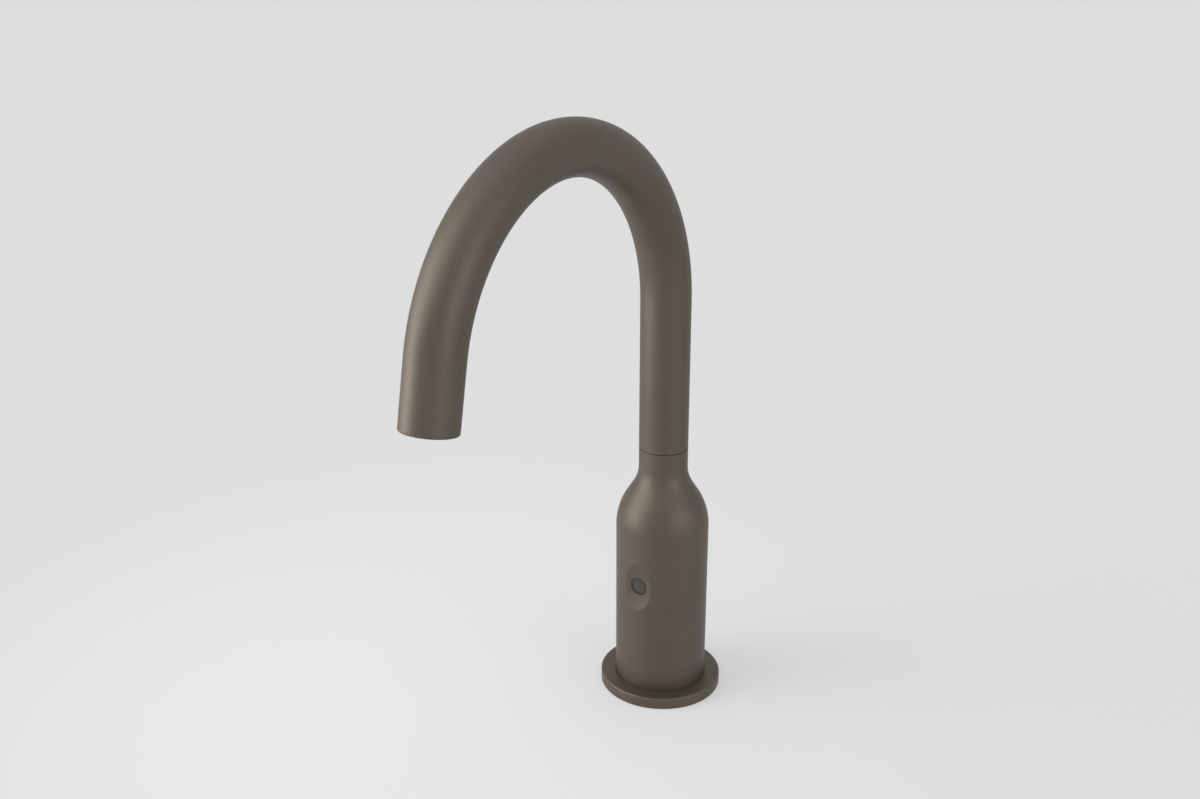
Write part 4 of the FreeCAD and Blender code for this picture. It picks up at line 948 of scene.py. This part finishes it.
PAPER = (222, 222, 222)      # background, as it shows in the picture
FLOOR_TONES = (212, 212, 212), (214, 214, 214)
FLOOR_GRAIN = 300.0          # millimetres, like the floor's radii and height
FLOOR_HOLE_R = FLANGE_R - 1.5
FLOOR_RINGS = (FLOOR_HOLE_R, 60, 200, 1000, 12000)
FLOOR_Z = -0.1

# Distance from the tap in metres, and the share of the background's level that the floor shows
# the camera there. It grows in between, so that only the shadow near the tap is left.
EVEN_NEAR = (0.06, 0.5)
EVEN_FAR = (0.5, 1.0)


def floor():
    """Pale sheet that the tap stands on, with a hole under the flange."""
    look = Shading("pale_floor", roughness=0.9)
    look.shader.inputs["Specular IOR Level"].default_value = 0.0
    look.colour(look.colours(look.grain(FLOOR_GRAIN), *FLOOR_TONES))
    look.even_out(PAPER, EVEN_NEAR, EVEN_FAR)
    bm = bmesh.new()
    skin(bm, [circle(radius, FLOOR_Z, SMALL_SEGMENTS) for radius in FLOOR_RINGS])
    bmesh.ops.recalc_face_normals(bm, faces=bm.faces)
    bm.transform(Matrix.Scale(MM, 4))
    mesh = bpy.data.meshes.new("floor")
    bm.to_mesh(mesh)
    bm.free()
    mesh.materials.append(look.material)
    sheet = bpy.data.objects.new("floor", mesh)
    bpy.context.scene.collection.objects.link(sheet)
    sheet.visible_shadow = False


def background():
    """Even pale surroundings at the same level as the floor."""
    world = bpy.data.worlds.new("surroundings")
    bpy.context.scene.world = world
    world.use_nodes = True
    shade = world.node_tree.nodes["Background"]
    shade.inputs["Color"].default_value = (*linear(PAPER), 1)
    shade.inputs["Strength"].default_value = 1.0


CAMERA_AZIMUTH = 31.418      # degrees round from the front, towards +X
CAMERA_DISTANCE = 0.608051
CAMERA_HEIGHT = 0.390606
CAMERA_YAW = 6.376
CAMERA_PITCH = 22.476
CAMERA_ROLL = -1.509
CAMERA_LENS = 38.56
CAMERA_SHIFT = (0.0575, 0.0364)

# Lamps: degrees round from the camera (positive to the right), elevation, width in degrees as
# the tap sees it, and radiance.
SOFTBOXES = {
    "key_low": (-80, -10, 40, 3.3),
    "key_high": (-84, 20, 44, 2.9),
    "key_top": (-60, 45, 44, 1.6),
}
FAR_LAMPS = {
    "fill_right": (50, 8, 44, 1.8),
    "fill_top": (0, 90, 80, 0.42),
}
LAMP_TARGET = Vector((0.0, -0.06, 0.17))
LAMP_DISTANCE = 0.8


def side(azimuth, elevation):
    """Direction from the tap towards a lamp."""
    turn = math.radians(CAMERA_AZIMUTH + azimuth)
    rise = math.radians(elevation)
    level = math.cos(rise)
    return Vector((math.sin(turn) * level, -math.cos(turn) * level, math.sin(rise)))


def lamp(name, kind, azimuth, elevation):
    """A lamp on that side, which faces the tap. Returns its data and its object."""
    light = bpy.data.lights.new(name, kind)
    holder = bpy.data.objects.new(name, light)
    bpy.context.scene.collection.objects.link(holder)
    towards = side(azimuth, elevation)
    holder.rotation_euler = towards.to_track_quat("Z", "Y").to_euler()
    holder.location = LAMP_TARGET + towards * LAMP_DISTANCE
    return light, holder


def softbox(name, azimuth, elevation, width, radiance):
    """Round soft lamp near the tap."""
    light, holder = lamp(name, "AREA", azimuth, elevation)
    light.shape = "DISK"
    light.size = 2 * LAMP_DISTANCE * math.tan(math.radians(width / 2))
    light.energy = radiance * math.pi * math.pi * light.size ** 2 / 4
    holder.visible_camera = False


def far_lamp(name, azimuth, elevation, width, radiance):
    """Broad lamp far from the tap."""
    light, _ = lamp(name, "SUN", azimuth, elevation)
    light.angle = math.radians(width)
    light.energy = radiance * math.pi * math.sin(math.radians(width / 2)) ** 2


def camera():
    """Camera at the picture's place."""
    turn = math.radians(CAMERA_AZIMUTH)
    look = math.radians(CAMERA_AZIMUTH + CAMERA_YAW)
    pitch = math.radians(CAMERA_PITCH)
    roll = math.radians(CAMERA_ROLL)
    level = Vector((-math.sin(look), math.cos(look), 0))
    right = Vector((math.cos(look), math.sin(look), 0))
    up = Vector((0, 0, 1))
    forward = level * math.cos(pitch) - up * math.sin(pitch)
    upward = up * math.cos(pitch) + level * math.sin(pitch)
    across = right * math.cos(roll) + upward * math.sin(roll)
    upright = upward * math.cos(roll) - right * math.sin(roll)
    view = bpy.data.cameras.new("camera")
    view.lens = CAMERA_LENS
    view.shift_x, view.shift_y = CAMERA_SHIFT
    eye = bpy.data.objects.new("camera", view)
    bpy.context.scene.collection.objects.link(eye)
    pose = Matrix((across, upright, -forward)).transposed().to_4x4()
    pose.translation = (CAMERA_DISTANCE * math.sin(turn), -CAMERA_DISTANCE * math.cos(turn),
                        CAMERA_HEIGHT)
    eye.matrix_world = pose
    bpy.context.scene.camera = eye


# ---- the whole scene ------------------------------------------------------------------------

dress_nodes()
spout()
body()
flange()
eye_rim()
eye_window()
shank()
back_nut()
inlet()
washer("deck_washer", "rubber_washer", WASHER_BORE_R, RUBBER_ROUND)
washer("nut_washer", "steel_washer", WASHER_BORE_R, STEEL_ROUND)
washer("foot_seal", "base_seal", SEAL_BORE_R, SEAL_ROUND)
springs()
floor()
background()
for lamp_name, setting in SOFTBOXES.items():
    softbox(lamp_name, *setting)
for lamp_name, setting in FAR_LAMPS.items():
    far_lamp(lamp_name, *setting)
camera()
bpy.context.scene.view_settings.view_transform = "Standard"
